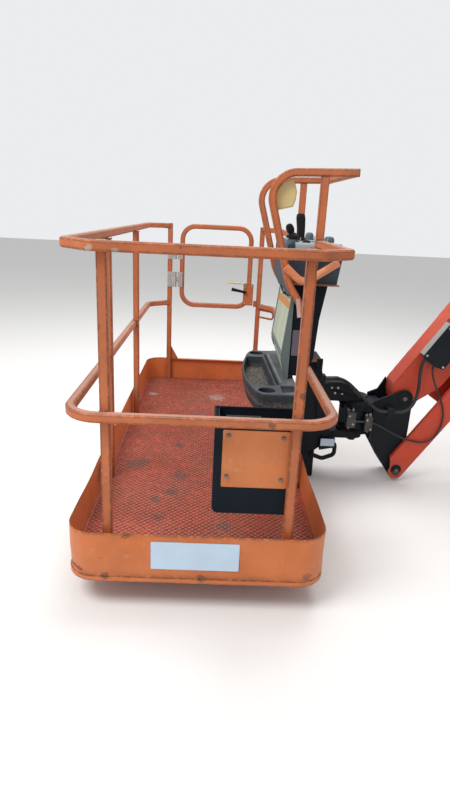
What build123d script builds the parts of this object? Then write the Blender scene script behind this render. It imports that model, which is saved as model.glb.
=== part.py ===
from build123d import *
import os
from math import cos, sin, tan, radians, hypot

os.makedirs("parts", exist_ok=True)

# Work platform, sizes in millimetres. X runs from the platform to the boom, Y along the platform, Z up.
PLATFORM_WIDTH = 914.0
PLATFORM_LENGTH = 2440.0
SIDE = PLATFORM_WIDTH / 2
SHEET = 3.0
TOE_TOP = 151.0
TOE_BOTTOM = -20.0
TOE_CORNER = 100.0
TOE_LIP = 28.0
FRAME_WIDTH = 62.0
FRAME_HEIGHT = 32.0
FRAME_BEAMS = 4
DECK_THICKNESS = 6.0
DECK_CLEARANCE = 1.0

# Rails, posts and gate
RAIL_TUBE = 32.0
RAIL_EDGE = 5.0
RAIL_BEND = 40.0
RAIL_TOP = 1110.0
MID_BEND = 110.0
MID_TOP = 580.0
POST_TUBE = 32.0
POST_EDGE = 4.0
CORNER_RUN_X = 99.0
CORNER_RUN_Y = 104.0
NEAR_POST_X = SIDE - 145.0
SIDE_POST_X = SIDE - 30.0
LEFT_POSTS_Y = (750.0, 1600.0)
GATE_POSTS_X = (155.0 - SIDE, SIDE - 121.0)
GATE_POST_INSET = 20.0
GUSSET_WIDTH = 50.0
GUSSET_HEIGHT = 95.0
GATE_TUBE = 32.0
GATE_EDGE = 7.0
GATE_LEFT = 225.0 - SIDE
GATE_RIGHT = SIDE - 179.0
GATE_BOTTOM = 540.0
GATE_TOP = 1112.0
GATE_BEND = 105.0
LATCH_LEFT = SIDE - 234.0
LATCH_WIDTH = 71.0
LATCH_Z = 645.0
LATCH_HEIGHT = 150.0
LATCH_PLATE = 5.0
HINGE_KNUCKLE = 22.0
HINGE_PIN = 10.0
HINGE_PLATE = 4.0
HINGE_LEAF = 35.0
HINGE_GAP = 17.5
HINGE_OFFSET = 32.5
HINGE_HEIGHT = 104.0
HINGE_LEVELS = (732.0, 924.0)
PIN_PLAY = 0.06
OPEN_PLAY = 0.4
PIVOT_GAP = 0.3

# Console, its guard and what hangs beside it
GUARD_TUBE = 30.0
GUARD_NEAR_Y = 700.0
GUARD_FAR_Y = 1300.0
GUARD_TOP = 1385.0
GUARD_FALL = 13.0
GUARD_REACH = SIDE + 116.0
GUARD_BEND = 95.0
SWEEP_X = SIDE - 248.0
STRUT_KNEE = (SIDE - 127.0, 930.0)
STRUT_FOOT = 780.0

# Jib, its links and the bracket on the boom
JIB_LENGTH = 1700.0
JIB_DROP = 56.6
PIN_SPACING = 407.0
HEAD_PIN_X = SIDE + 577.0
HEAD_PIN_Z = 320.0
JIB_Y = 1200.0
ROTATOR_X = SIDE + 343.0
PIN_DIAMETER = 48.0
PIN_BOLT = 20.0
BEAM_WIDTH = 128.0
BEAM_ABOVE = 93.0
BEAM_BELOW = 117.0
BEAM_END_RADIUS = 58.0
BEAM_TAPER = 150.0
BEAM_SQUARE = 28.0
BEAM_END_FACE = 60.0
LINK_PLATE = 6.0
LINK_ABOVE = 76.0
LINK_BELOW = 40.0
LINK_RISE = 45.0
LINK_LIP = 18.0
LINK_SPACE = 23.0
LINK_YOKE = 420.0
LINK_OPEN = 216.0
SIDE_GAP = 5.0
EAR_PLATE = 12.0
EAR_RADIUS = 44.0
LOWER_PIN = 36.0
BOOM_PIN_X = 150.0
BOOM_PIN_DROP = 330.0
BOOM_PIN_BORE = 50.0
BOOM_PIN_TUBE = 84.0
LEVEL_PIN_X = 190.0
LEVEL_PIN_DROP = 620.0
LEVEL_PIN_BORE = 40.0
LEVEL_PIN_TUBE = 68.0
CYLINDER_REACH = 450.0
CYLINDER_TILT = 10.0
LUG_REACH = 120.0
LUG_RADIUS = 26.0
BARREL_DIAMETER = 86.0
ROD_DIAMETER = 50.0
BARREL_BORE = 66.0
BARREL_LENGTH = 318.0
BARREL_EYE = 84.0
ROD_EYE = 68.0
ROD_LENGTH = 309.0
PISTON = 18.0
EYE_WIDTH = 60.0
CYLINDER_PIN = 32.0
PIN_CAP = 8.0
TUBE_PROUD = 10.0

# Places that follow from the sizes above. The model's origin is the centre of the boom pin's bore.
DROP_COS = cos(radians(JIB_DROP))
DROP_SIN = sin(radians(JIB_DROP))
BASE_X = -BOOM_PIN_X
BASE_Z = BOOM_PIN_DROP
HEAD_X = BASE_X - JIB_LENGTH * DROP_COS
HEAD_Z = BASE_Z - JIB_LENGTH * DROP_SIN
FLOOR_X = HEAD_X - HEAD_PIN_X
FLOOR_Y = -JIB_Y
FLOOR_Z = HEAD_Z - HEAD_PIN_Z
RAIL_X = SIDE - RAIL_TUBE / 2
RAIL_Y = RAIL_TUBE / 2
POST_Y = RAIL_TUBE + POST_TUBE / 2
FAR_Y = PLATFORM_LENGTH - GATE_POST_INSET
RAIL_Z = RAIL_TOP - RAIL_TUBE / 2
MID_Z = MID_TOP - RAIL_TUBE / 2
DECK_BOTTOM = -DECK_THICKNESS
FRAME_BOTTOM = DECK_BOTTOM - FRAME_HEIGHT
GUARD_SLOPE = GUARD_FALL / (GUARD_REACH - SWEEP_X)


def spot(x, y, z):
    """A point given from the platform's own datum: middle of the deck's near edge, deck top."""
    return (FLOOR_X + x, FLOOR_Y + y, FLOOR_Z + z)


def level(z):
    """A horizontal plane at a height over the deck, with its origin at the platform's datum."""
    return Plane(spot(0, 0, z))


def upright(y):
    """A plane across the platform: its x runs to the boom, its y up, its normal to the near end."""
    return Plane(spot(0, y, 0), x_dir=(1, 0, 0), z_dir=(0, -1, 0))


ROUND_SIDES = 12


def bent_tube(points, bends, width, edge, side):
    """A bar swept along a polyline with bent corners, square with broken edges, or round."""
    with BuildPart() as tube:
        with BuildLine() as path:
            if bends:
                FilletPolyline(*points, radius=bends)
            else:
                Polyline(*points)
        start = path.wires()[0]
        with BuildSketch(Plane(start @ 0, x_dir=side, z_dir=start % 0)) as section:
            if edge:
                Rectangle(width, width)
                chamfer(section.vertices(), edge)
            else:
                RegularPolygon(width / 2, ROUND_SIDES)
        sweep()
    return tube


def save(piece, name):
    """Labels a finished piece and writes it as one STEP file."""
    piece.part.label = name
    export_step(piece.part, f"parts/{name}.step")


def footprint(inset):
    """The platform's rounded outline, drawn in from the toeboard's outer face."""
    with Locations((0, PLATFORM_LENGTH / 2)):
        RectangleRounded(
            PLATFORM_WIDTH - 2 * inset, PLATFORM_LENGTH - 2 * inset, TOE_CORNER - inset
        )


# Toeboard: one sheet bent round the platform, with a lip folded in under the gate
with BuildPart() as toeboard:
    with BuildSketch(level(TOE_BOTTOM)):
        footprint(0)
        with Locations((0, PLATFORM_LENGTH / 2)):
            RectangleRounded(
                PLATFORM_WIDTH - 2 * SHEET,
                PLATFORM_LENGTH - 2 * SHEET,
                TOE_CORNER - SHEET,
                mode=Mode.SUBTRACT,
            )
    extrude(amount=TOE_TOP - TOE_BOTTOM)
    with BuildSketch(level(TOE_TOP - SHEET)):
        with Locations((0, PLATFORM_LENGTH - SHEET - TOE_LIP / 2)):
            with Locations((sum(GATE_POSTS_X) / 2, 0)):
                Rectangle(
                    GATE_POSTS_X[1] - GATE_POSTS_X[0] - POST_TUBE - 2 * DECK_CLEARANCE, TOE_LIP
                )
    extrude(amount=SHEET)
save(toeboard, "toeboard")

# Floor frame: a rolled rim under the toeboard with cross beams, which the posts stand on
with BuildPart() as floor_frame:
    with BuildSketch(level(FRAME_BOTTOM)):
        footprint(0)
    extrude(amount=TOE_BOTTOM - FRAME_BOTTOM)
    with BuildSketch(level(TOE_BOTTOM)):
        footprint(SHEET)
    extrude(amount=DECK_BOTTOM - TOE_BOTTOM)
    with BuildSketch(level(FRAME_BOTTOM)):
        with Locations((0, PLATFORM_LENGTH / 2)):
            RectangleRounded(
                PLATFORM_WIDTH - 2 * (SHEET + FRAME_WIDTH),
                PLATFORM_LENGTH - 2 * (SHEET + FRAME_WIDTH),
                TOE_CORNER - SHEET - FRAME_WIDTH,
            )
            with GridLocations(1, PLATFORM_LENGTH / (FRAME_BEAMS + 1), 1, FRAME_BEAMS):
                Rectangle(PLATFORM_WIDTH, FRAME_WIDTH, mode=Mode.SUBTRACT)
    extrude(amount=FRAME_HEIGHT, mode=Mode.SUBTRACT)
save(floor_frame, "floor_frame")

# Catch on the right gate post, then the posts
CATCH = 20.0

# Posts in groups on the frame: name, the centres of its posts, their top over the deck
UNDER_RAIL = RAIL_TOP - RAIL_TUBE
POSTS = (
    ("posts_near", ((-NEAR_POST_X, POST_Y), (NEAR_POST_X, POST_Y)), RAIL_TOP),
    ("posts_left", ((-SIDE_POST_X, LEFT_POSTS_Y[0]), (-SIDE_POST_X, LEFT_POSTS_Y[1])), UNDER_RAIL),
    ("posts_right", ((SIDE_POST_X, GUARD_NEAR_Y), (SIDE_POST_X, GUARD_FAR_Y)), UNDER_RAIL),
    ("posts_gate", ((GATE_POSTS_X[0], FAR_Y), (GATE_POSTS_X[1], FAR_Y)), RAIL_TOP),
)

# Deck: the floor sheet, notched round each post
with BuildPart() as floor_deck:
    with BuildSketch(level(DECK_BOTTOM)):
        with Locations((0, PLATFORM_LENGTH / 2)):
            RectangleRounded(
                PLATFORM_WIDTH - 2 * (SHEET + DECK_CLEARANCE),
                PLATFORM_LENGTH - 2 * (SHEET + DECK_CLEARANCE),
                TOE_CORNER - SHEET - DECK_CLEARANCE,
            )
        for name, centres, top in POSTS:
            with Locations(*centres):
                notch = POST_TUBE + 2 * DECK_CLEARANCE
                Rectangle(notch, notch, mode=Mode.SUBTRACT)
        for x in GATE_POSTS_X:
            with Locations((x, PLATFORM_LENGTH)):
                Rectangle(
                    POST_TUBE + 2 * DECK_CLEARANCE, 2 * GATE_POST_INSET, mode=Mode.SUBTRACT
                )
    extrude(amount=DECK_THICKNESS)
save(floor_deck, "floor_deck")

for name, centres, top in POSTS:
    with BuildPart() as posts:
        with BuildSketch(level(DECK_BOTTOM)):
            with Locations(*centres):
                RectangleRounded(POST_TUBE, POST_TUBE, POST_EDGE)
        extrude(amount=top - DECK_BOTTOM)
        if top < RAIL_TOP:
            for x, y in centres:
                with Locations(spot(RAIL_X if x > 0 else -RAIL_X, y, MID_Z)):
                    Box(RAIL_TUBE, 2 * POST_TUBE, RAIL_TUBE, mode=Mode.SUBTRACT)
        if name == "posts_gate":
            with BuildSketch(upright(FAR_Y)):
                for x, inward in zip(GATE_POSTS_X, (1, -1)):
                    face = x + inward * POST_TUBE / 2
                    with BuildLine():
                        Polyline(
                            (x, TOE_TOP + GUSSET_HEIGHT),
                            (face, TOE_TOP + GUSSET_HEIGHT),
                            (face + inward * GUSSET_WIDTH, TOE_TOP + 2 * SHEET),
                            (face + inward * GUSSET_WIDTH, TOE_TOP),
                            (x, TOE_TOP),
                            close=True,
                        )
                    make_face()
            extrude(amount=SHEET, both=True)
            with BuildSketch(upright(FAR_Y)):
                with Locations((GATE_POSTS_X[1] - POST_TUBE / 2 - CATCH / 2, GATE_BOTTOM + 40)):
                    Rectangle(CATCH, 2 * CATCH)
            extrude(amount=CATCH / 2, both=True)
    save(posts, name)


def clear_of_gate_posts(builder):
    """Cuts a bar's ends flush with the sides of the two gate posts."""
    with builder:
        with Locations(*[spot(x, FAR_Y, RAIL_Z / 2) for x in GATE_POSTS_X]):
            Box(POST_TUBE, POST_TUBE, 2 * RAIL_TOP, mode=Mode.SUBTRACT)


# Top rail: a square tube with angled corners, from the gate round the near end to the console
corner_x = RAIL_X - CORNER_RUN_X
far_run = FAR_Y - CORNER_RUN_Y
near_corner = [
    spot(corner_x, RAIL_Y, RAIL_Z),
    spot(RAIL_X, RAIL_Y + CORNER_RUN_Y, RAIL_Z),
    spot(RAIL_X, GUARD_NEAR_Y + GUARD_TUBE / 2, RAIL_Z),
]
rail_near = bent_tube(
    [
        spot(GATE_POSTS_X[0], FAR_Y, RAIL_Z),
        spot(-RAIL_X, far_run, RAIL_Z),
        spot(-RAIL_X, RAIL_Y + CORNER_RUN_Y, RAIL_Z),
        spot(-corner_x, RAIL_Y, RAIL_Z),
    ]
    + near_corner,
    RAIL_BEND,
    RAIL_TUBE,
    RAIL_EDGE,
    (0, 0, 1),
)
rail_far = bent_tube(
    [
        spot(GATE_POSTS_X[1], FAR_Y, RAIL_Z),
        spot(RAIL_X, far_run, RAIL_Z),
        spot(RAIL_X, GUARD_FAR_Y - GUARD_TUBE / 2, RAIL_Z),
    ],
    RAIL_BEND,
    RAIL_TUBE,
    RAIL_EDGE,
    (0, 0, 1),
)
with BuildPart() as top_rail:
    add(rail_near.part)
    add(rail_far.part)
clear_of_gate_posts(top_rail)
save(top_rail, "top_rail")

# Mid rail: the same tube with wide bends, the same way round
rail_near = bent_tube(
    [
        spot(GATE_POSTS_X[0], FAR_Y, MID_Z),
        spot(-RAIL_X, far_run, MID_Z),
        spot(-RAIL_X, RAIL_Y, MID_Z),
        spot(RAIL_X, RAIL_Y, MID_Z),
        spot(RAIL_X, GUARD_NEAR_Y + POST_TUBE / 2, MID_Z),
    ],
    MID_BEND,
    RAIL_TUBE,
    RAIL_EDGE,
    (0, 0, 1),
)
rail_far = bent_tube(
    [
        spot(GATE_POSTS_X[1], FAR_Y, MID_Z),
        spot(RAIL_X, far_run, MID_Z),
        spot(RAIL_X, GUARD_FAR_Y - POST_TUBE / 2, MID_Z),
    ],
    MID_BEND,
    RAIL_TUBE,
    RAIL_EDGE,
    (0, 0, 1),
)
with BuildPart() as mid_rail:
    add(rail_near.part)
    add(rail_far.part)
clear_of_gate_posts(mid_rail)
save(mid_rail, "mid_rail")

# Rail loop: a short closed bar at the far corner, under the mid rail
LOOP_BAR = 14.0
LOOP_RUN = CORNER_RUN_Y
LOOP_DROP = 52.0
LOOP_BEND = 24.0
loop_z = MID_TOP - RAIL_TUBE - LOOP_BAR / 2
loop_bar = bent_tube(
    [
        spot(GATE_POSTS_X[1], FAR_Y, loop_z),
        spot(GATE_POSTS_X[1] + LOOP_RUN, FAR_Y - LOOP_RUN, loop_z),
        spot(GATE_POSTS_X[1] + LOOP_RUN, FAR_Y - LOOP_RUN, loop_z - LOOP_DROP),
        spot(GATE_POSTS_X[1], FAR_Y, loop_z - LOOP_DROP),
    ],
    LOOP_BEND,
    LOOP_BAR,
    0,
    (0, 0, 1),
)
with BuildPart() as corner_loop:
    add(loop_bar.part)
clear_of_gate_posts(corner_loop)
save(corner_loop, "corner_loop")


# Console guard: two bent loops with a cross bar at their outer ends
def guard_z(x):
    """Middle of the guard's top bars, which rise toward their outer ends."""
    return GUARD_TOP - GUARD_TUBE / 2 - GUARD_SLOPE * (GUARD_REACH - x)


for name, y in (("guard_near", GUARD_NEAR_Y), ("guard_far", GUARD_FAR_Y)):
    loop = bent_tube(
        [
            spot(GUARD_REACH, y, guard_z(GUARD_REACH)),
            spot(SWEEP_X, y, guard_z(SWEEP_X)),
            spot(STRUT_KNEE[0], y, STRUT_KNEE[1]),
            spot(SIDE_POST_X, y, STRUT_FOOT),
        ],
        [GUARD_BEND, 2 * GUARD_BEND],
        GUARD_TUBE,
        RAIL_EDGE,
        (0, 1, 0),
    )
    with loop:
        with Locations(spot(SIDE_POST_X, y, STRUT_FOOT)):
            Box(POST_TUBE, 2 * GUARD_TUBE, 8 * GUARD_TUBE, mode=Mode.SUBTRACT)
    save(loop, name)

with BuildPart() as guard_bars:
    for y in (GUARD_NEAR_Y, GUARD_FAR_Y):
        with BuildSketch(upright(y - GUARD_TUBE / 2)):
            with BuildLine():
                left, right = RAIL_X - GUARD_TUBE / 2, RAIL_X + GUARD_TUBE / 2
                under = GUARD_TUBE / 2 * hypot(1, GUARD_SLOPE)
                Polyline(
                    (left, RAIL_TOP),
                    (right, RAIL_TOP),
                    (right, guard_z(right) - under),
                    (left, guard_z(left) - under),
                    close=True,
                )
            make_face()
        extrude(amount=-GUARD_TUBE)
    cross_x = GUARD_REACH - GUARD_TUBE / 2
    with BuildSketch(upright(GUARD_NEAR_Y + GUARD_TUBE / 2)) as cross_bar:
        with Locations((cross_x, guard_z(cross_x))):
            Rectangle(GUARD_TUBE, GUARD_TUBE)
        chamfer(cross_bar.vertices(), RAIL_EDGE)
    extrude(amount=-(GUARD_FAR_Y - GUARD_NEAR_Y - GUARD_TUBE))
save(guard_bars, "guard_bars")

# Guard panel: a plate behind the near loop's bend
with BuildPart() as guard_panel:
    with BuildSketch(upright(GUARD_NEAR_Y + GUARD_TUBE / 2)):
        with BuildLine():
            Polyline(
                (SWEEP_X + 47, 1216),
                (SWEEP_X + 43, 1262),
                (SWEEP_X + 74, 1318),
                (SWEEP_X + 109, 1342),
                (SWEEP_X + 128, 1290),
                (SWEEP_X + 116, 1233),
                close=True,
            )
        make_face()
    extrude(amount=-4)
save(guard_panel, "guard_panel")

# Console shelf: the plate between the two right-hand posts that carries the console
SHELF_Z = 925.0
SHELF_PLATE = 5.0
SHELF_OUT = SIDE + 88.0
CONSOLE_IN = SIDE - 112.0
CONSOLE_NEAR = 745.0
CONSOLE_FAR = 1255.0
HOUSING_IN = SIDE - 137.0
with BuildPart() as console_shelf:
    with BuildSketch(level(SHELF_Z)):
        near_edge = GUARD_NEAR_Y + POST_TUBE / 2
        far_edge = GUARD_FAR_Y - POST_TUBE / 2
        with Locations(((CONSOLE_IN + SHELF_OUT) / 2, (near_edge + far_edge) / 2)):
            Rectangle(SHELF_OUT - CONSOLE_IN, far_edge - near_edge)
    extrude(amount=SHELF_PLATE)
save(console_shelf, "console_shelf")

# Console: an upper housing on the shelf, with a skirt over the shelf's edge, and a lower one under it
HOUSING_TOP = 1085.0
with BuildPart() as console_housing:
    with BuildSketch(upright(CONSOLE_NEAR)):
        with BuildLine():
            Polyline(
                (CONSOLE_IN, SHELF_Z + SHELF_PLATE),
                (SHELF_OUT - 6, SHELF_Z + SHELF_PLATE),
                (SHELF_OUT + 10, HOUSING_TOP - 30),
                (SHELF_OUT - 15, HOUSING_TOP),
                (HOUSING_IN, HOUSING_TOP),
                (HOUSING_IN, SHELF_Z + 10),
                (CONSOLE_IN, SHELF_Z - 55),
                close=True,
            )
        make_face()
    extrude(amount=-(CONSOLE_FAR - CONSOLE_NEAR))
    chamfer(console_housing.edges().filter_by(Axis.Y).group_by(Axis.Z)[-1], 5)
save(console_housing, "console_housing")

with BuildPart() as console_panel:
    with BuildSketch(level(HOUSING_TOP)):
        with Locations(((CONSOLE_IN + SHELF_OUT - 15) / 2, (CONSOLE_NEAR + CONSOLE_FAR) / 2)):
            RectangleRounded(SHELF_OUT - 25 - CONSOLE_IN, CONSOLE_FAR - CONSOLE_NEAR - 20, 12)
    extrude(amount=10)
save(console_panel, "console_panel")

BASE_IN = CONSOLE_IN + 20.0
BASE_BOTTOM = 520.0
with BuildPart() as console_base:
    with BuildSketch(upright(CONSOLE_NEAR + 15)):
        with BuildLine():
            Polyline(
                (BASE_IN, SHELF_Z),
                (SHELF_OUT - 40, SHELF_Z),
                (SHELF_OUT - 63, 775),
                (SHELF_OUT - 73, 600),
                (SHELF_OUT - 105, BASE_BOTTOM),
                (BASE_IN, BASE_BOTTOM),
                close=True,
            )
        make_face()
    extrude(amount=-(CONSOLE_FAR - CONSOLE_NEAR - 30))
    fillet(console_base.edges().filter_by(Axis.Y), 8)
save(console_base, "console_base")

# Controls on the panel: name, distance in from its outer edge, y, foot radius, top radius, height
PANEL_TOP = HOUSING_TOP + 10
STICK_GRIP = 12.0
CONTROLS = (
    ("stick", 193, 900, 26, 9, 62),
    ("knob", 143, 820, 17, 17, 16),
    ("switch_near", 30, 900, 17, 17, 22),
    ("switch_far", 90, 1100, 17, 17, 28),
)
with BuildPart() as controls:
    for name, inward, y, foot, top, height in CONTROLS:
        x = SHELF_OUT - inward
        with BuildSketch(level(PANEL_TOP)):
            with Locations((x, y)):
                Circle(foot)
        with BuildSketch(level(PANEL_TOP + height)):
            with Locations((x, y)):
                Circle(top)
        loft(ruled=True)
        if name == "stick":
            with BuildSketch(level(PANEL_TOP + height)):
                with Locations((x, y)):
                    Circle(STICK_GRIP)
            extrude(amount=3 * STICK_GRIP)
    with BuildSketch(level(PANEL_TOP)):
        with Locations((SHELF_OUT - 141, 950)):
            RectangleRounded(26, 30, 8)
    with BuildSketch(level(PANEL_TOP + 115)):
        with Locations((SHELF_OUT - 163, 950)):
            RectangleRounded(22, 26, 8)
    loft(ruled=True)
save(controls, "controls")

# Document box on the console's inner side: it leans in toward its foot and is cut off under its far end
TRAY_TOP = 500.0
DOC_TOP = 890.0
DOC_KNEE = 600.0
DOC_INSET = 8.0
with BuildPart() as document_box:
    with BuildSketch(upright(CONSOLE_NEAR + DOC_INSET)):
        with BuildLine():
            Polyline(
                (BASE_IN, DOC_TOP),
                (BASE_IN - 5, DOC_TOP),
                (BASE_IN - 35, DOC_KNEE),
                (BASE_IN - 12, TRAY_TOP),
                (BASE_IN, TRAY_TOP),
                close=True,
            )
        make_face()
    extrude(amount=-(CONSOLE_FAR - CONSOLE_NEAR - 2 * DOC_INSET))
    with BuildSketch(Plane(spot(BASE_IN, 0, 0), x_dir=(0, -1, 0), z_dir=(-1, 0, 0))):
        with BuildLine():
            Polyline(
                (-CONSOLE_NEAR - DOC_INSET, TRAY_TOP),
                (-CONSOLE_FAR, 573),
                (-CONSOLE_FAR, TRAY_TOP),
                close=True,
            )
        make_face()
    extrude(amount=BASE_IN, mode=Mode.SUBTRACT)
save(document_box, "document_box")

# Hoop under the top rail: a bent tube in front of the console
HOOP_TUBE = 32.0
HOOP_BEND = 45.0
hoop_y = GUARD_NEAR_Y - POST_TUBE / 2 - HOOP_TUBE / 2 - PIVOT_GAP
hoop_rail = bent_tube(
    [
        spot(SIDE - 148, hoop_y, 1000),
        spot(SIDE - 73, hoop_y, 936),
        spot(SIDE + 65, hoop_y, 1027),
    ],
    HOOP_BEND,
    HOOP_TUBE,
    0,
    (0, 1, 0),
)
save(hoop_rail, "hoop_rail")

# Tray: a moulded shelf with a bowed inner side, a pocket, two round holders, a groove and a recess
TRAY_BOTTOM = 400.0
TRAY_WALL = 6.0
TRAY_IN = SIDE - 289.0
TRAY_OUT = SIDE - 65.0
TRAY_NEAR = 530.0
TRAY_FAR = 1312.0
TRAY_BEND = 60.0
CUP = 75.0
POCKET_DEPTH = 50.0
GROOVE_DEPTH = 10.0
with BuildPart() as tray:
    with BuildSketch(level(TRAY_BOTTOM)) as tray_outline:
        with BuildLine():
            Polyline(
                (TRAY_OUT, TRAY_NEAR),
                (TRAY_IN + 54, TRAY_NEAR),
                (TRAY_IN, TRAY_NEAR + 260),
                (TRAY_IN, TRAY_FAR - 312),
                (TRAY_IN + 47, TRAY_FAR),
                (TRAY_OUT, TRAY_FAR),
                close=True,
            )
        make_face()
        corners = tray_outline.vertices().sort_by(Axis.X)
        fillet(corners[2:4], TRAY_BEND)
        fillet(tray_outline.vertices().sort_by(Axis.X)[:2], 3 * TRAY_BEND)
    extrude(amount=TRAY_TOP - TRAY_BOTTOM)
    with BuildSketch(level(TRAY_BOTTOM + TRAY_WALL)):
        with Locations((TRAY_IN + 90, TRAY_NEAR + 57), (TRAY_IN + 90, TRAY_FAR - 67)):
            Circle(CUP / 2)
    extrude(amount=TRAY_TOP - TRAY_BOTTOM, mode=Mode.SUBTRACT)
    with BuildSketch(level(TRAY_TOP - POCKET_DEPTH)) as pocket:
        with BuildLine():
            Polyline(
                (TRAY_IN + 32, TRAY_NEAR + 138),
                (TRAY_IN + 14, TRAY_NEAR + 240),
                (TRAY_IN + 14, TRAY_FAR - 302),
                (TRAY_IN + 35, TRAY_FAR - 157),
                (TRAY_IN + 110, TRAY_FAR - 147),
                (TRAY_IN + 123, TRAY_NEAR + 138),
                close=True,
            )
        make_face()
        fillet(pocket.vertices(), 16)
    extrude(amount=POCKET_DEPTH, mode=Mode.SUBTRACT)
    with BuildSketch(level(TRAY_TOP - GROOVE_DEPTH)):
        with BuildLine():
            Polyline(
                (TRAY_IN + 128, TRAY_FAR - 112),
                (TRAY_IN + 138, TRAY_FAR - 112),
                (TRAY_IN + 156, TRAY_NEAR + 170),
                (TRAY_IN + 146, TRAY_NEAR + 170),
                close=True,
            )
        make_face()
        with Locations((TRAY_IN + 186, TRAY_NEAR + 113)):
            RectangleRounded(52, 64, 8)
    extrude(amount=GROOVE_DEPTH, mode=Mode.SUBTRACT)
    with BuildSketch(level(TRAY_TOP)):
        with Locations(((TRAY_OUT + BASE_IN) / 2, JIB_Y - 200)):
            Rectangle(TRAY_OUT - BASE_IN, 420)
    extrude(amount=BASE_BOTTOM - TRAY_TOP)
save(tray, "tray")

# Storage box behind the near posts, its cover plate and the latch strip at its top edge
BOX_LEFT = 44.0
BOX_RIGHT = NEAR_POST_X + POST_TUBE / 2 + 2
BOX_BOTTOM = 210.0
BOX_TOP = 560.0
BOX_FRONT = POST_Y + POST_TUBE / 2
BOX_DEPTH = 120.0
BOX_WALL = 4.0
with BuildPart() as storage_box:
    with BuildSketch(upright(BOX_FRONT)):
        with Locations(((BOX_LEFT + BOX_RIGHT) / 2, (BOX_BOTTOM + BOX_TOP) / 2)):
            RectangleRounded(BOX_RIGHT - BOX_LEFT, BOX_TOP - BOX_BOTTOM, 22)
    extrude(amount=-BOX_DEPTH)
    with BuildSketch(level(BOX_BOTTOM + BOX_WALL)):
        with Locations(((BOX_LEFT + BOX_RIGHT) / 2, BOX_FRONT + BOX_DEPTH / 2)):
            Rectangle(BOX_RIGHT - BOX_LEFT - 30, BOX_DEPTH - 2 * BOX_WALL)
    extrude(amount=BOX_TOP, mode=Mode.SUBTRACT)
save(storage_box, "storage_box")

COVER_LEFT = BOX_LEFT + 28.0
COVER_RIGHT = NEAR_POST_X - POST_TUBE / 2
with BuildPart() as storage_cover:
    with BuildSketch(upright(BOX_FRONT)):
        with Locations(((COVER_LEFT + COVER_RIGHT) / 2, 416)):
            RectangleRounded(COVER_RIGHT - COVER_LEFT, 208, 6)
    extrude(amount=SHEET)
save(storage_cover, "storage_cover")

with BuildPart() as latch_strip:
    with BuildSketch(upright(BOX_FRONT)):
        with Locations((BOX_LEFT + 93, BOX_TOP - 5)):
            Rectangle(114, 34)
    extrude(amount=SHEET)
save(latch_strip, "latch_strip")

with BuildPart() as near_plate:
    with BuildSketch(upright(0)):
        with Locations((-6, 72)):
            RectangleRounded(305, 108, 4)
    extrude(amount=1)
save(near_plate, "near_plate")

# Support: beams under the floor, a column on their foot and the arms that hold the rotator
ARM_HALF = 58.0
COLUMN_HALF = 80.0
COLUMN_IN = SIDE + 57.0
COLUMN_OUT = SIDE + 209.0
COLUMN_FOOT = SIDE + 133.0
COLUMN_SHOULDER = (SIDE + 143.0, 400.0)
HOSE_START = SIDE + 157.0


def column_edge(z):
    """The column's outer edge, which slopes out below its shoulder."""
    x0, z0 = COLUMN_SHOULDER
    return x0 + (z0 - z) * (COLUMN_OUT - x0) / 300


BEAM_TOP = FRAME_BOTTOM
FLOOR_BEAM = 60.0
FLOOR_BEAM_DEPTH = 105.0
FLOOR_BEAM_SPACING = 500.0
with BuildPart() as floor_beams:
    with BuildSketch(level(BEAM_TOP - FLOOR_BEAM_DEPTH)):
        for side in (1, -1):
            with Locations((0, JIB_Y + side * FLOOR_BEAM_SPACING / 2)):
                Rectangle(PLATFORM_WIDTH - 2 * FLOOR_BEAM, FLOOR_BEAM)
        with Locations((SIDE - 1.5 * FLOOR_BEAM, JIB_Y)):
            Rectangle(FLOOR_BEAM, FLOOR_BEAM_SPACING)
        with Locations(((SIDE - FLOOR_BEAM + COLUMN_FOOT) / 2, JIB_Y)):
            Rectangle(COLUMN_FOOT - SIDE + FLOOR_BEAM, 2 * COLUMN_HALF)
    extrude(amount=FLOOR_BEAM_DEPTH)
save(floor_beams, "floor_beams")

ROTATOR_RADIUS = 82.0
ROTATOR_BOTTOM = 115.0
ROTATOR_TOP = 285.0
LOWER_ARM = 40.0
lower_arm_z = ROTATOR_BOTTOM - PIVOT_GAP - LOWER_ARM
with BuildPart() as column:
    with BuildSketch(upright(JIB_Y - COLUMN_HALF)):
        with BuildLine():
            Polyline(
                (COLUMN_IN, 510),
                (COLUMN_SHOULDER[0] - 22, 515),
                COLUMN_SHOULDER,
                (COLUMN_OUT, 100),
                (COLUMN_OUT, lower_arm_z),
                (COLUMN_FOOT, 10),
                (COLUMN_FOOT, BEAM_TOP),
                (COLUMN_IN, BEAM_TOP),
                close=True,
            )
        make_face()
    extrude(amount=-2 * COLUMN_HALF)
    with BuildSketch(Plane(spot(HOSE_START, 1150, 402), z_dir=(-1, 0, 0))):
        Rectangle(44, 44)
    extrude(amount=HOSE_START - COLUMN_SHOULDER[0] + 12)
save(column, "column")

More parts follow.
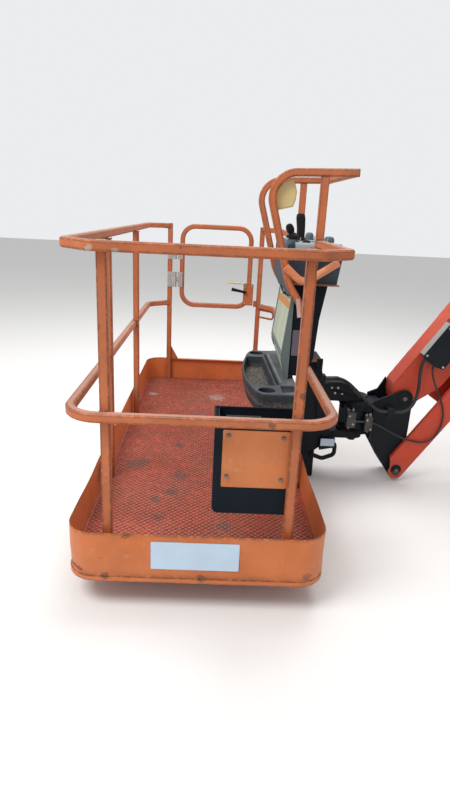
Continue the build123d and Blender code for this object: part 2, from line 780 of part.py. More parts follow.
with BuildPart() as top_arm:
    with BuildSketch(level(ROTATOR_TOP + PIVOT_GAP)):
        with Locations((ROTATOR_X, JIB_Y)):
            Circle(ARM_HALF)
        arm_left = column_edge(ROTATOR_TOP + PIVOT_GAP)
        with Locations(((ROTATOR_X + arm_left) / 2, JIB_Y)):
            Rectangle(ROTATOR_X - arm_left, 2 * ARM_HALF)
    extrude(amount=24)
    with BuildSketch(upright(JIB_Y - ARM_HALF)):
        with BuildLine():
            Polyline(
                (arm_left, ROTATOR_TOP + PIVOT_GAP),
                (column_edge(372), 372),
                (ROTATOR_X - 160, 385),
                (ROTATOR_X - 98, 388),
                (ROTATOR_X - 68, 378),
                (ROTATOR_X - 40, 354),
                (ROTATOR_X + 7, ROTATOR_TOP + PIVOT_GAP + 24),
                (ROTATOR_X + 7, ROTATOR_TOP + PIVOT_GAP),
                close=True,
            )
        make_face()
    extrude(amount=-2 * ARM_HALF)
save(top_arm, "top_arm")

with BuildPart() as bottom_arm:
    with BuildSketch(level(lower_arm_z)):
        with Locations((ROTATOR_X, JIB_Y)):
            Circle(ARM_HALF - 8)
        with Locations(((ROTATOR_X + COLUMN_OUT) / 2, JIB_Y)):
            Rectangle(ROTATOR_X - COLUMN_OUT, 2 * ARM_HALF - 16)
    extrude(amount=LOWER_ARM)
    with BuildSketch(level(lower_arm_z)):
        with Locations((ROTATOR_X, JIB_Y)):
            RegularPolygon(23, 6)
    extrude(amount=-22)
save(bottom_arm, "bottom_arm")

# Loop handle: a thick bent bar beside the column's foot, with a block that ties it to the column
HANDLE_BAR = 23.0
HANDLE_BEND = 28.0
HANDLE_OUT = COLUMN_FOOT + 105.0
handle_y = JIB_Y - COLUMN_HALF - HANDLE_BAR / 2
handle_bar = bent_tube(
    [
        spot(COLUMN_FOOT - 22, handle_y, -8),
        spot(COLUMN_FOOT + 42, handle_y, -31),
        spot(HANDLE_OUT, handle_y, -6),
        spot(HANDLE_OUT, handle_y, 66),
        spot(COLUMN_FOOT + 50, handle_y, 66),
    ],
    HANDLE_BEND,
    HANDLE_BAR,
    0,
    (0, 1, 0),
)
with BuildPart() as loop_handle:
    add(handle_bar.part)
    with BuildSketch(upright(JIB_Y - COLUMN_HALF)):
        with BuildLine():
            Polyline(
                (COLUMN_FOOT + 22, 22),
                (HANDLE_OUT - 4, 38),
                (HANDLE_OUT - 4, 88),
                (COLUMN_FOOT + 22, 88),
                close=True,
            )
        make_face()
    extrude(amount=HANDLE_BAR)
save(loop_handle, "loop_handle")

# Rotator: a round housing with a foot to the head's plates
HEAD_X0 = ROTATOR_X + 80.0
HEAD_WEB = ROTATOR_X + 125.0
HEAD_INNER = BEAM_WIDTH / 2 + SIDE_GAP
HEAD_OUTER = HEAD_INNER + EAR_PLATE
LINK_INNER = HEAD_OUTER + LINK_SPACE
LINK_OUTER = LINK_INNER + LINK_PLATE
with BuildPart() as rotator:
    with BuildSketch(level(ROTATOR_BOTTOM)):
        with Locations((ROTATOR_X, JIB_Y)):
            Circle(ROTATOR_RADIUS)
        with Locations(((ROTATOR_X + HEAD_WEB) / 2, JIB_Y)):
            Rectangle(HEAD_WEB - ROTATOR_X, 2 * HEAD_INNER)
    extrude(amount=ROTATOR_TOP - ROTATOR_BOTTOM)
save(rotator, "rotator")

with BuildPart() as valve_block:
    with BuildSketch(upright(JIB_Y - ROTATOR_RADIUS + 20)):
        with Locations((ROTATOR_X - 38, 200)):
            Rectangle(46, 84)
        with Locations((ROTATOR_X + 56, 178)):
            Rectangle(38, 76)
    extrude(amount=50)
    valve_rod = Plane(
        spot(ROTATOR_X - 15, JIB_Y - ROTATOR_RADIUS - 12, 187), z_dir=(1, 0, 0)
    )
    with BuildSketch(valve_rod):
        Circle(6)
    extrude(amount=52)
    with BuildSketch(level(ROTATOR_BOTTOM)):
        with Locations((ROTATOR_X, JIB_Y)):
            Circle(ROTATOR_RADIUS)
        with Locations(((ROTATOR_X + HEAD_WEB) / 2, JIB_Y)):
            Rectangle(HEAD_WEB - ROTATOR_X, 2 * HEAD_INNER)
    extrude(amount=ROTATOR_TOP - ROTATOR_BOTTOM, mode=Mode.SUBTRACT)
save(valve_block, "valve_block")


def plate_outline(circles, points):
    """The hull round a row of pin bosses and a few corner points."""
    with BuildSketch(mode=Mode.PRIVATE) as outline:
        with BuildLine():
            for x, y, r in circles:
                CenterArc((x, y), r, 0, 360)
            for a, b in zip(points, points[1:]):
                Line(a, b)
        make_hull()
    return outline.sketch


SPACER = 54.0

# Head plates: near side of the jib or far, height of the ear behind the upper pin
with BuildPart() as head_plates:
    for near, peak in ((1, 0), (-1, 392)):
        with BuildSketch(upright(JIB_Y - near * HEAD_OUTER)):
            add(
                plate_outline(
                    [
                        (HEAD_PIN_X, HEAD_PIN_Z, EAR_RADIUS),
                        (HEAD_PIN_X, HEAD_PIN_Z - PIN_SPACING, LINK_BELOW),
                    ],
                    [(HEAD_X0, 300), (HEAD_X0, 80), (HEAD_PIN_X - 68, -60)],
                )
            )
            if peak:
                with BuildLine():
                    Polyline(
                        (HEAD_PIN_X - 114, 300),
                        (HEAD_PIN_X - 66, peak),
                        (HEAD_PIN_X - 18, 330),
                        close=True,
                    )
                make_face()
            with Locations((HEAD_PIN_X, HEAD_PIN_Z)):
                Circle(PIN_DIAMETER / 2, mode=Mode.SUBTRACT)
            with Locations((HEAD_PIN_X, HEAD_PIN_Z - PIN_SPACING)):
                Circle(LOWER_PIN / 2, mode=Mode.SUBTRACT)
        extrude(amount=-near * EAR_PLATE)
save(head_plates, "head_plates")


def cross_pin(x, z, diameter, near, far, cap):
    """A pin across the jib, to a distance on each side, with a round cap at each end."""
    with BuildPart() as pin:
        with BuildSketch(upright(JIB_Y - near)):
            with Locations((x, z)):
                Circle(diameter / 2)
        extrude(amount=-near - far)
        for side, reach in ((1, near), (-1, far)):
            with BuildSketch(upright(JIB_Y - side * reach)):
                with Locations((x, z)):
                    Circle(cap / 2)
            extrude(amount=side * PIN_CAP)
    return pin


head_lower_z = HEAD_PIN_Z - PIN_SPACING
upper_pin = cross_pin(HEAD_PIN_X, HEAD_PIN_Z, PIN_DIAMETER, HEAD_OUTER, HEAD_OUTER, PIN_BOLT)
lower_pin = cross_pin(HEAD_PIN_X, head_lower_z, LOWER_PIN, LINK_OUTER, HEAD_OUTER, LOWER_PIN)
with BuildPart() as head_pins:
    add(upper_pin.part)
    add(lower_pin.part)
    with BuildSketch(upright(JIB_Y - HEAD_OUTER)):
        with Locations((HEAD_PIN_X, head_lower_z)):
            Circle(SPACER / 2)
    extrude(amount=LINK_SPACE - PIVOT_GAP)
save(head_pins, "head_pins")

# Frame of the jib at rest: its x runs up the members from the head, its y is square to them, upward
JIB_UP = (DROP_COS, 0, DROP_SIN)
BASE_PIN_X = HEAD_PIN_X + JIB_LENGTH * DROP_COS
BASE_PIN_Z = HEAD_PIN_Z + JIB_LENGTH * DROP_SIN


def along(y, z0=0.0):
    """A plane in the jib's own direction, from the head's upper pin or one set below it."""
    return Plane(
        spot(HEAD_PIN_X, y, HEAD_PIN_Z - z0), x_dir=JIB_UP, z_dir=(0, -1, 0)
    )


# Upper beam of the jib: a closed box, its head end cut upright and its base end tapered
with BuildPart() as jib_beam:
    with BuildSketch(along(JIB_Y - BEAM_WIDTH / 2)) as beam_side:
        with BuildLine():
            Polyline(
                (BEAM_SQUARE, BEAM_ABOVE),
                (JIB_LENGTH - BEAM_TAPER, BEAM_ABOVE),
                (JIB_LENGTH, BEAM_END_RADIUS),
                (JIB_LENGTH, -BEAM_END_RADIUS),
                (JIB_LENGTH - BEAM_TAPER, -BEAM_BELOW),
                (BEAM_TAPER, -BEAM_BELOW),
                (0, -BEAM_END_RADIUS),
                (BEAM_SQUARE - BEAM_END_FACE * DROP_SIN, BEAM_ABOVE - BEAM_END_FACE * DROP_COS),
                close=True,
            )
        make_face()
        with Locations((0, 0), (JIB_LENGTH, 0)):
            Circle(BEAM_END_RADIUS)
        with Locations((0, 0), (JIB_LENGTH, 0)):
            Circle(PIN_DIAMETER / 2 + PIN_PLAY, mode=Mode.SUBTRACT)
    extrude(amount=-BEAM_WIDTH)
save(jib_beam, "jib_beam")

# Hose cover beside the beam: a hood open toward the head, with the bulkhead its hoses end at
COVER_PLATE = 5.0
COVER_DEPTH = 46.0
COVER_END = 430.0
COVER_BELOW = 45.0
BULKHEAD = 240.0
with BuildPart() as jib_cover:
    with BuildSketch(along(JIB_Y - BEAM_WIDTH / 2)):
        with BuildLine():
            Polyline(
                (223, 79),
                (232, BEAM_ABOVE),
                (COVER_END, BEAM_ABOVE),
                (COVER_END, -COVER_BELOW),
                (232, -COVER_BELOW),
                (218, 1),
                (217, 52),
                close=True,
            )
        make_face()
    extrude(amount=COVER_DEPTH)
    inside_top = BEAM_ABOVE - COVER_PLATE
    inside_bottom = COVER_PLATE - COVER_BELOW
    inside_end = COVER_END - COVER_PLATE
    with BuildSketch(along(JIB_Y - BEAM_WIDTH / 2)):
        with BuildLine():
            Polyline(
                (200, inside_top),
                (inside_end, inside_top),
                (inside_end, inside_bottom),
                (200, inside_bottom),
                close=True,
            )
        make_face()
    extrude(amount=COVER_DEPTH - COVER_PLATE, mode=Mode.SUBTRACT)
    with BuildSketch(along(JIB_Y - BEAM_WIDTH / 2)):
        with Locations((BULKHEAD + COVER_PLATE / 2, (inside_top + inside_bottom) / 2)):
            Rectangle(COVER_PLATE, inside_top - inside_bottom)
    extrude(amount=COVER_DEPTH - COVER_PLATE)
save(jib_cover, "jib_cover")

# Lower link: a channel on the near side, and toward the bracket a yoke with a second side plate:
# name, side, start along the link, then the place and play of each bore
LINK_SIDES = (
    ("link_plate_near", 1, 0.0, ((0.0, OPEN_PLAY), (JIB_LENGTH, PIN_PLAY))),
    ("link_plate_far", -1, LINK_YOKE, ((JIB_LENGTH, PIN_PLAY),)),
)
for name, near, start, bores in LINK_SIDES:
    with BuildPart() as plate:
        with BuildSketch(along(JIB_Y - near * LINK_OUTER, PIN_SPACING)):
            with BuildLine():
                Polyline(
                    (start, LINK_BELOW),
                    (start + LINK_RISE, LINK_ABOVE),
                    (JIB_LENGTH - LINK_RISE, LINK_ABOVE),
                    (JIB_LENGTH, LINK_BELOW),
                    (JIB_LENGTH, -LINK_BELOW),
                    (start, -LINK_BELOW),
                    close=True,
                )
            make_face()
            for place, play in bores:
                with Locations((place, 0)):
                    Circle(LINK_BELOW)
            for place, play in bores:
                with Locations((place, 0)):
                    Circle(LOWER_PIN / 2 + play, mode=Mode.SUBTRACT)
        extrude(amount=-near * LINK_PLATE)
        with BuildSketch(along(JIB_Y - near * LINK_INNER, PIN_SPACING)):
            with Locations(((start + JIB_LENGTH) / 2, LINK_ABOVE - LINK_PLATE / 2)):
                Rectangle(JIB_LENGTH - start - 2 * LINK_RISE, LINK_PLATE)
        extrude(amount=-near * LINK_LIP)
    save(plate, name)

floor_end = JIB_LENGTH - LINK_OPEN
floor_top = LINK_PLATE - LINK_BELOW
LUG_OUTER = HEAD_INNER - SIDE_GAP
with BuildPart() as link_floor:
    with BuildSketch(along(JIB_Y - LINK_INNER, PIN_SPACING)):
        with Locations(((LINK_YOKE + floor_end) / 2, floor_top - LINK_PLATE / 2)):
            Rectangle(floor_end - LINK_YOKE, LINK_PLATE)
    extrude(amount=-2 * LINK_INNER)
    for near in (1, -1):
        with BuildSketch(along(JIB_Y - near * LUG_OUTER, PIN_SPACING)):
            add(
                plate_outline(
                    [(JIB_LENGTH - LUG_REACH, 0, LUG_RADIUS)],
                    [(floor_end - LUG_REACH, floor_top), (floor_end, floor_top)],
                )
            )
        extrude(amount=-near * EAR_PLATE)
save(link_floor, "link_floor")

# Bracket on the boom: two plates with the jib's pins, the cylinder's pin and two cross tubes
CYLINDER_X = BASE_PIN_X + CYLINDER_REACH * sin(radians(CYLINDER_TILT))
CYLINDER_Z = BASE_PIN_Z - PIN_SPACING - CYLINDER_REACH * cos(radians(CYLINDER_TILT))
BOOM_X = BASE_PIN_X + BOOM_PIN_X
BOOM_Z = BASE_PIN_Z - BOOM_PIN_DROP
LEVEL_X = BASE_PIN_X + LEVEL_PIN_X
LEVEL_Z = BASE_PIN_Z - LEVEL_PIN_DROP
with BuildPart() as base_plates:
    for near in (1, -1):
        with BuildSketch(upright(JIB_Y - near * HEAD_OUTER)):
            add(
                plate_outline(
                    [
                        (BASE_PIN_X, BASE_PIN_Z, EAR_RADIUS),
                        (BASE_PIN_X, BASE_PIN_Z - PIN_SPACING, EAR_RADIUS),
                        (CYLINDER_X, CYLINDER_Z, BARREL_EYE / 2 + 6),
                        (BOOM_X, BOOM_Z, BOOM_PIN_TUBE / 2 + 16),
                        (LEVEL_X, LEVEL_Z, LEVEL_PIN_TUBE / 2 + 16),
                    ],
                    [],
                )
            )
            for x, z, d in (
                (BASE_PIN_X, BASE_PIN_Z, PIN_DIAMETER),
                (BASE_PIN_X, BASE_PIN_Z - PIN_SPACING, LOWER_PIN),
                (CYLINDER_X, CYLINDER_Z, CYLINDER_PIN),
                (BOOM_X, BOOM_Z, BOOM_PIN_TUBE),
                (LEVEL_X, LEVEL_Z, LEVEL_PIN_TUBE),
            ):
                with Locations((x, z)):
                    Circle(d / 2, mode=Mode.SUBTRACT)
        extrude(amount=-near * EAR_PLATE)
save(base_plates, "base_plates")

with BuildPart() as base_tubes:
    for x, z, outer, bore in (
        (BOOM_X, BOOM_Z, BOOM_PIN_TUBE, BOOM_PIN_BORE),
        (LEVEL_X, LEVEL_Z, LEVEL_PIN_TUBE, LEVEL_PIN_BORE),
    ):
        with BuildSketch(upright(JIB_Y)):
            with Locations((x, z)):
                Circle(outer / 2)
                Circle(bore / 2, mode=Mode.SUBTRACT)
        extrude(amount=HEAD_OUTER + TUBE_PROUD, both=True)
save(base_tubes, "base_tubes")

upper_pin = cross_pin(
    BASE_PIN_X, BASE_PIN_Z, PIN_DIAMETER, HEAD_OUTER, HEAD_OUTER, PIN_DIAMETER + 12
)
barrel_pin = cross_pin(
    CYLINDER_X, CYLINDER_Z, CYLINDER_PIN, HEAD_OUTER, HEAD_OUTER, CYLINDER_PIN + 12
)
with BuildPart() as base_pins:
    add(upper_pin.part)
    add(barrel_pin.part)
    # start, diameter and end of each step of the two short pins, out from the jib's middle
    for start, diameter, end in (
        (HEAD_INNER, LOWER_PIN, LINK_OUTER + 1),
        (HEAD_OUTER, SPACER, LINK_INNER - PIVOT_GAP),
        (LINK_OUTER + 1, LOWER_PIN + 12, LINK_OUTER + 1 + PIN_CAP),
    ):
        for near in (1, -1):
            with BuildSketch(upright(JIB_Y - near * start)):
                with Locations((BASE_PIN_X, BASE_PIN_Z - PIN_SPACING)):
                    Circle(diameter / 2)
            extrude(amount=near * (end - start))
save(base_pins, "base_pins")

# Jib cylinder: the barrel on the bracket, the rod to the lower link's lugs
LUG_X = BASE_PIN_X - LUG_REACH * DROP_COS
LUG_Z = BASE_PIN_Z - PIN_SPACING - LUG_REACH * DROP_SIN
STROKE_X = LUG_X - CYLINDER_X
STROKE_Z = LUG_Z - CYLINDER_Z
CYLINDER_LENGTH = hypot(STROKE_X, STROKE_Z)
CYLINDER_DIRECTION = (STROKE_X / CYLINDER_LENGTH, 0, STROKE_Z / CYLINDER_LENGTH)


def up_cylinder(distance):
    """A plane square to the cylinder's axis, at a distance from its lower pin."""
    x, _, z = CYLINDER_DIRECTION
    at = spot(CYLINDER_X + x * distance, JIB_Y, CYLINDER_Z + z * distance)
    return Plane(at, x_dir=(0, 1, 0), z_dir=CYLINDER_DIRECTION)


GLAND = 22.0
BARREL_START = BARREL_EYE / 2 - 6
with BuildPart() as cylinder_barrel:
    with BuildSketch(up_cylinder(BARREL_START)):
        Circle(BARREL_DIAMETER / 2)
    extrude(amount=BARREL_LENGTH - BARREL_START)
    with BuildSketch(upright(JIB_Y)):
        with Locations((CYLINDER_X, CYLINDER_Z)):
            Circle(BARREL_EYE / 2)
    extrude(amount=BARREL_DIAMETER / 2, both=True)
    with BuildSketch(upright(JIB_Y)):
        with Locations((CYLINDER_X, CYLINDER_Z)):
            Circle(CYLINDER_PIN / 2 + PIN_PLAY)
    extrude(amount=BARREL_DIAMETER, both=True, mode=Mode.SUBTRACT)
    with BuildSketch(up_cylinder(BARREL_EYE / 2 + 10)):
        Circle(BARREL_BORE / 2)
    extrude(amount=BARREL_LENGTH - GLAND - BARREL_EYE / 2 - 10, mode=Mode.SUBTRACT)
    with BuildSketch(up_cylinder(BARREL_LENGTH - GLAND)):
        Circle(ROD_DIAMETER / 2 + PIN_PLAY)
    extrude(amount=GLAND, mode=Mode.SUBTRACT)
save(cylinder_barrel, "cylinder_barrel")

with BuildPart() as cylinder_rod:
    with BuildSketch(up_cylinder(CYLINDER_LENGTH - ROD_LENGTH)):
        Circle(ROD_DIAMETER / 2)
    extrude(amount=ROD_LENGTH - ROD_EYE / 4)
    with BuildSketch(up_cylinder(CYLINDER_LENGTH - ROD_LENGTH)):
        Circle(BARREL_BORE / 2 - PIVOT_GAP)
    extrude(amount=PISTON)
    with BuildSketch(upright(JIB_Y)):
        with Locations((LUG_X, LUG_Z)):
            Circle(ROD_EYE / 2)
    extrude(amount=EYE_WIDTH / 2, both=True)
    with BuildSketch(upright(JIB_Y)):
        with Locations((LUG_X, LUG_Z)):
            Circle(CYLINDER_PIN / 2)
    extrude(amount=LUG_OUTER - EAR_PLATE - 2, both=True)
save(cylinder_rod, "cylinder_rod")

# Gate: a bent tube frame on two hinges, with its latch plate, lever and rod
gate_mid = (GATE_LEFT + GATE_RIGHT) / 2
gate_near = FAR_Y - GATE_TUBE / 2
with BuildPart() as gate_frame:
    with BuildSketch(upright(FAR_Y + GATE_TUBE / 2)):
        with Locations((gate_mid, (GATE_TOP + GATE_BOTTOM) / 2)):
            RectangleRounded(GATE_RIGHT - GATE_LEFT, GATE_TOP - GATE_BOTTOM, GATE_BEND)
            RectangleRounded(
                GATE_RIGHT - GATE_LEFT - 2 * GATE_TUBE,
                GATE_TOP - GATE_BOTTOM - 2 * GATE_TUBE,
                GATE_BEND - GATE_TUBE,
                mode=Mode.SUBTRACT,
            )
    extrude(amount=GATE_TUBE)
    tube_edges = gate_frame.edges().group_by(Axis.Y)
    chamfer(tube_edges[0] + tube_edges[-1], GATE_EDGE)
    with BuildSketch(upright(gate_near)):
        with Locations((LATCH_LEFT + LATCH_WIDTH / 2, LATCH_Z)):
            RectangleRounded(LATCH_WIDTH, LATCH_HEIGHT, 4)
    extrude(amount=LATCH_PLATE)
save(gate_frame, "gate_frame")

# Hinges: a leaf on the post and one on the gate, three knuckles between them and a pin
HINGE_X = GATE_LEFT - HINGE_OFFSET
HINGE_Y = gate_near - HINGE_PLATE / 2
KNUCKLE = HINGE_HEIGHT / 3
with BuildPart() as gate_hinge:
    for z in HINGE_LEVELS:
        with BuildSketch(level(z - HINGE_HEIGHT / 2)):
            with Locations((HINGE_X + HINGE_GAP + HINGE_LEAF / 2, HINGE_Y)):
                Rectangle(HINGE_LEAF, HINGE_PLATE)
        extrude(amount=HINGE_HEIGHT)
        with BuildSketch(level(z - KNUCKLE / 2 + PIVOT_GAP)):
            with Locations((HINGE_X + HINGE_GAP / 2, HINGE_Y)):
                Rectangle(HINGE_GAP, HINGE_PLATE)
            with Locations((HINGE_X, HINGE_Y)):
                Circle(HINGE_KNUCKLE / 2)
                Circle(HINGE_PIN / 2 + PIN_PLAY, mode=Mode.SUBTRACT)
        extrude(amount=KNUCKLE - 2 * PIVOT_GAP)
save(gate_hinge, "gate_hinge")

with BuildPart() as post_hinge:
    for z in HINGE_LEVELS:
        with BuildSketch(level(z - HINGE_HEIGHT / 2)):
            with Locations((HINGE_X - HINGE_GAP - HINGE_LEAF / 2, HINGE_Y)):
                Rectangle(HINGE_LEAF, HINGE_PLATE)
            with Locations((HINGE_X, HINGE_Y)):
                Circle(HINGE_PIN / 2)
        extrude(amount=HINGE_HEIGHT)
        for start in (-HINGE_HEIGHT / 2, KNUCKLE / 2):
            with BuildSketch(level(z + start)):
                with Locations((HINGE_X - HINGE_GAP / 2, HINGE_Y)):
                    Rectangle(HINGE_GAP, HINGE_PLATE)
                with Locations((HINGE_X, HINGE_Y)):
                    Circle(HINGE_KNUCKLE / 2)
            extrude(amount=KNUCKLE)
save(post_hinge, "post_hinge")

LEVER_X = LATCH_LEFT + 13.0
LEVER_Z = LATCH_Z + 19.0
LEVER_Y = gate_near - LATCH_PLATE - 14.0
LEVER_RISE = 18.0
LEVER_RUN = 97.0
with BuildPart() as latch_grip:
    with BuildSketch(upright(gate_near - LATCH_PLATE)):
        with Locations((LEVER_X, LEVER_Z)):
            Circle(10)
    extrude(amount=24)
    lever_end = Plane(spot(LEVER_X, LEVER_Y, LEVER_Z), z_dir=(-LEVER_RUN, 0, LEVER_RISE))
    with BuildSketch(lever_end):
        Circle(8)
    extrude(amount=hypot(LEVER_RUN, LEVER_RISE), taper=-2.5)
save(latch_grip, "latch_grip")

ROD_RADIUS = 4.0
with BuildPart() as latch_rod:
    rod_y = gate_near - LATCH_PLATE - ROD_RADIUS
    rod_end = Plane(spot(LEVER_X, rod_y, LATCH_Z + 76), z_dir=(-120, 0, 5))
    with BuildSketch(rod_end):
        Circle(ROD_RADIUS)
    extrude(amount=122)
    with BuildSketch(upright(gate_near - LATCH_PLATE)):
        with Locations((LEVER_X, LATCH_Z + 66)):
            Rectangle(12, 32)
    extrude(amount=2 * ROD_RADIUS)
save(latch_rod, "latch_rod")


# Hoses and a cable that hang free, as straight runs joined by arcs
def hose(points, diameter):
    """A tube along a route, each corner bent as wide as its two runs allow."""
    route = [Vector(*spot(*p)) for p in points]
    radii = []
    for before, at, after in zip(route, route[1:], route[2:]):
        turn = (at - before).get_angle(after - at)
        run = min((at - before).length, (after - at).length)
        radii.append(0.45 * run / tan(radians(turn) / 2))
    print("smallest bend", round(min(radii) / diameter, 1), "diameters")
    with BuildPart() as tube:
        with BuildLine() as path:
            FilletPolyline(*route, radius=radii)
        start = path.wires()[0]
        with BuildSketch(Plane(start @ 0, z_dir=start % 0)):
            RegularPolygon(diameter / 2, ROUND_SIDES)
        sweep()
    return tube


def beside(s, h, y):
    """A point of the platform's datum beside the beam, from the head's pin along it and square to it."""
    x = HEAD_PIN_X + s * DROP_COS - h * DROP_SIN
    return (x, y, HEAD_PIN_Z + s * DROP_SIN + h * DROP_COS)


HOSE = 17.0
CABLE = 9.0
CLAMP_X = (HEAD_PIN_X - 94.0, HEAD_PIN_X - 58.0)
with BuildPart() as hose_clamp:
    with BuildSketch(upright(JIB_Y - HEAD_OUTER)):
        with Locations(((CLAMP_X[0] + CLAMP_X[1]) / 2, 256)):
            RectangleRounded(CLAMP_X[1] - CLAMP_X[0], 44, 6)
    extrude(amount=56)
save(hose_clamp, "hose_clamp")

save(
    hose(
        [
            (HOSE_START, 1150, 402),
            (650, 1150, 402),
            (690, 1136, 410),
            (728, 1118, 396),
            (766, 1102, 364),
            (808, 1088, 326),
            (854, 1078, 288),
            (898, 1076, 256),
            (CLAMP_X[0], 1076, 256),
        ],
        HOSE,
    ),
    "hose_turn",
)
save(
    hose(
        [
            (CLAMP_X[1], 1076, 256),
            (1016, 1076, 256),
            (1050, 1077, 276),
            (1074, 1080, 312),
            (1086, 1086, 360),
            (1090, 1096, 410),
            (1089, 1104, 456),
            (1091, 1106, 496),
            beside(208, 62, 1107),
            beside(BULKHEAD, 62, 1107),
        ],
        HOSE,
    ),
    "hose_jib",
)
save(
    hose(
        [
            (875, 1082, 190),
            (908, 1078, 178),
            (946, 1076, 160),
            (984, 1076, 139),
            (1022, 1076, 121),
            (1062, 1076, 107),
            (1104, 1076, 98),
            (1146, 1077, 93),
            (1186, 1078, 106),
            (1216, 1079, 140),
            (1232, 1080, 186),
            (1236, 1081, 236),
            (1228, 1083, 286),
            (1208, 1086, 332),
            (1184, 1091, 376),
            (1164, 1098, 418),
            (1150, 1107, 458),
            beside(212, 2, 1112),
            beside(BULKHEAD, 2, 1112),
        ],
        CABLE,
    ),
    "cable_jib",
)
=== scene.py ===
import bpy
import numpy as np
from math import pi, sin, cos, radians
from mathutils import Matrix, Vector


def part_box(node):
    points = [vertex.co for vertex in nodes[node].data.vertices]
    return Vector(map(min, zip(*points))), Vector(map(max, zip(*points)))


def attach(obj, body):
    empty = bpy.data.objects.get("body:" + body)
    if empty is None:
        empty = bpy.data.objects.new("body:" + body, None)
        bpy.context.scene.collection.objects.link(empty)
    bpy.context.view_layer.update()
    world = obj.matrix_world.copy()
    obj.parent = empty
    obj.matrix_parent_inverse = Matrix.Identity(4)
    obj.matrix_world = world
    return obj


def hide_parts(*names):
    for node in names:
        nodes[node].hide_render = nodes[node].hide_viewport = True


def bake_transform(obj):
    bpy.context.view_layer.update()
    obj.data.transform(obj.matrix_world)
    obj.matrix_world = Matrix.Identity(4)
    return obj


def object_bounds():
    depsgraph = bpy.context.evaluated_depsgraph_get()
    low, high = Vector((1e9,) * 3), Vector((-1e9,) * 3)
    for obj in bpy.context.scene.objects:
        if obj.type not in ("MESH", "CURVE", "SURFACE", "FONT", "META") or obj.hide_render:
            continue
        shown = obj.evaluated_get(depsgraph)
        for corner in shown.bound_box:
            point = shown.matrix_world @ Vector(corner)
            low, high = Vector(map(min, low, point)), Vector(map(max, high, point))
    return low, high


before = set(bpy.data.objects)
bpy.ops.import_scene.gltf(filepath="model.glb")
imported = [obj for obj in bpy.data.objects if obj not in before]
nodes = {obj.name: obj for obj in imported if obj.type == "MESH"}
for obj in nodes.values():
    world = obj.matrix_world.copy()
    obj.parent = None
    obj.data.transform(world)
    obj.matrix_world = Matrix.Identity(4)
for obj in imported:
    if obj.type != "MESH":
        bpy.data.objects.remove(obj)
cad_box = [list(corner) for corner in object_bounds()]


# Camera: a person's eye height at the platform's near end, looking down and a little to the right.
# Every place below is given in millimetres from the middle of the deck's near edge.
toe_low, toe_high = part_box("toeboard")
DATUM = np.array([(toe_low.x + toe_high.x) / 2, toe_low.y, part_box("floor_deck")[1].z])


def at(*point):
    """Points in millimetres from the deck's near edge, moved to the model's frame in metres."""
    return DATUM + np.array(point, float) / 1000


EYE = (31.1, -1686.1, 1204.2)
YAW, PITCH, ROLL = radians(1.381), radians(18.36), radians(2.71)
FOCAL = 568.09 / 800 * 36
look = np.array([sin(YAW) * cos(PITCH), cos(YAW) * cos(PITCH), -sin(PITCH)])
side = np.array([cos(YAW), -sin(YAW), 0])
over = np.cross(side, look)
right = side * cos(ROLL) + over * sin(ROLL)
up = over * cos(ROLL) - side * sin(ROLL)
camera = bpy.data.objects.new("camera", bpy.data.cameras.new("camera"))
bpy.context.scene.collection.objects.link(camera)
camera.data.lens = FOCAL
camera.data.sensor_width = 36
camera.data.clip_start = 0.05
pose = np.eye(4)
pose[:3, 0], pose[:3, 1], pose[:3, 2], pose[:3, 3] = right, up, -look, at(*EYE)
camera.matrix_world = Matrix(pose)
bpy.context.scene.camera = camera
bpy.context.scene.view_settings.view_transform = "Standard"


class Wire:
    """A shader socket, on which ordinary arithmetic adds the Math nodes."""

    def __init__(self, shader, socket):
        self.shader, self.socket = shader, socket

    def math(self, operation, *values):
        return self.shader.add("Math", {"operation": operation}, dict(enumerate(values)))

    def __add__(self, other):
        return self.math("ADD", self, other)

    def __sub__(self, other):
        return self.math("SUBTRACT", self, other)

    def __rsub__(self, other):
        return self.math("SUBTRACT", other, self)

    def __mul__(self, other):
        return self.math("MULTIPLY", self, other)

    __radd__, __rmul__ = __add__, __mul__

    def between(self, low, high):
        """0 below low, 1 above high and a straight line between them, for either order of the two."""
        return self.shader.add("MapRange", {}, {"Value": self, "From Min": low, "From Max": high})


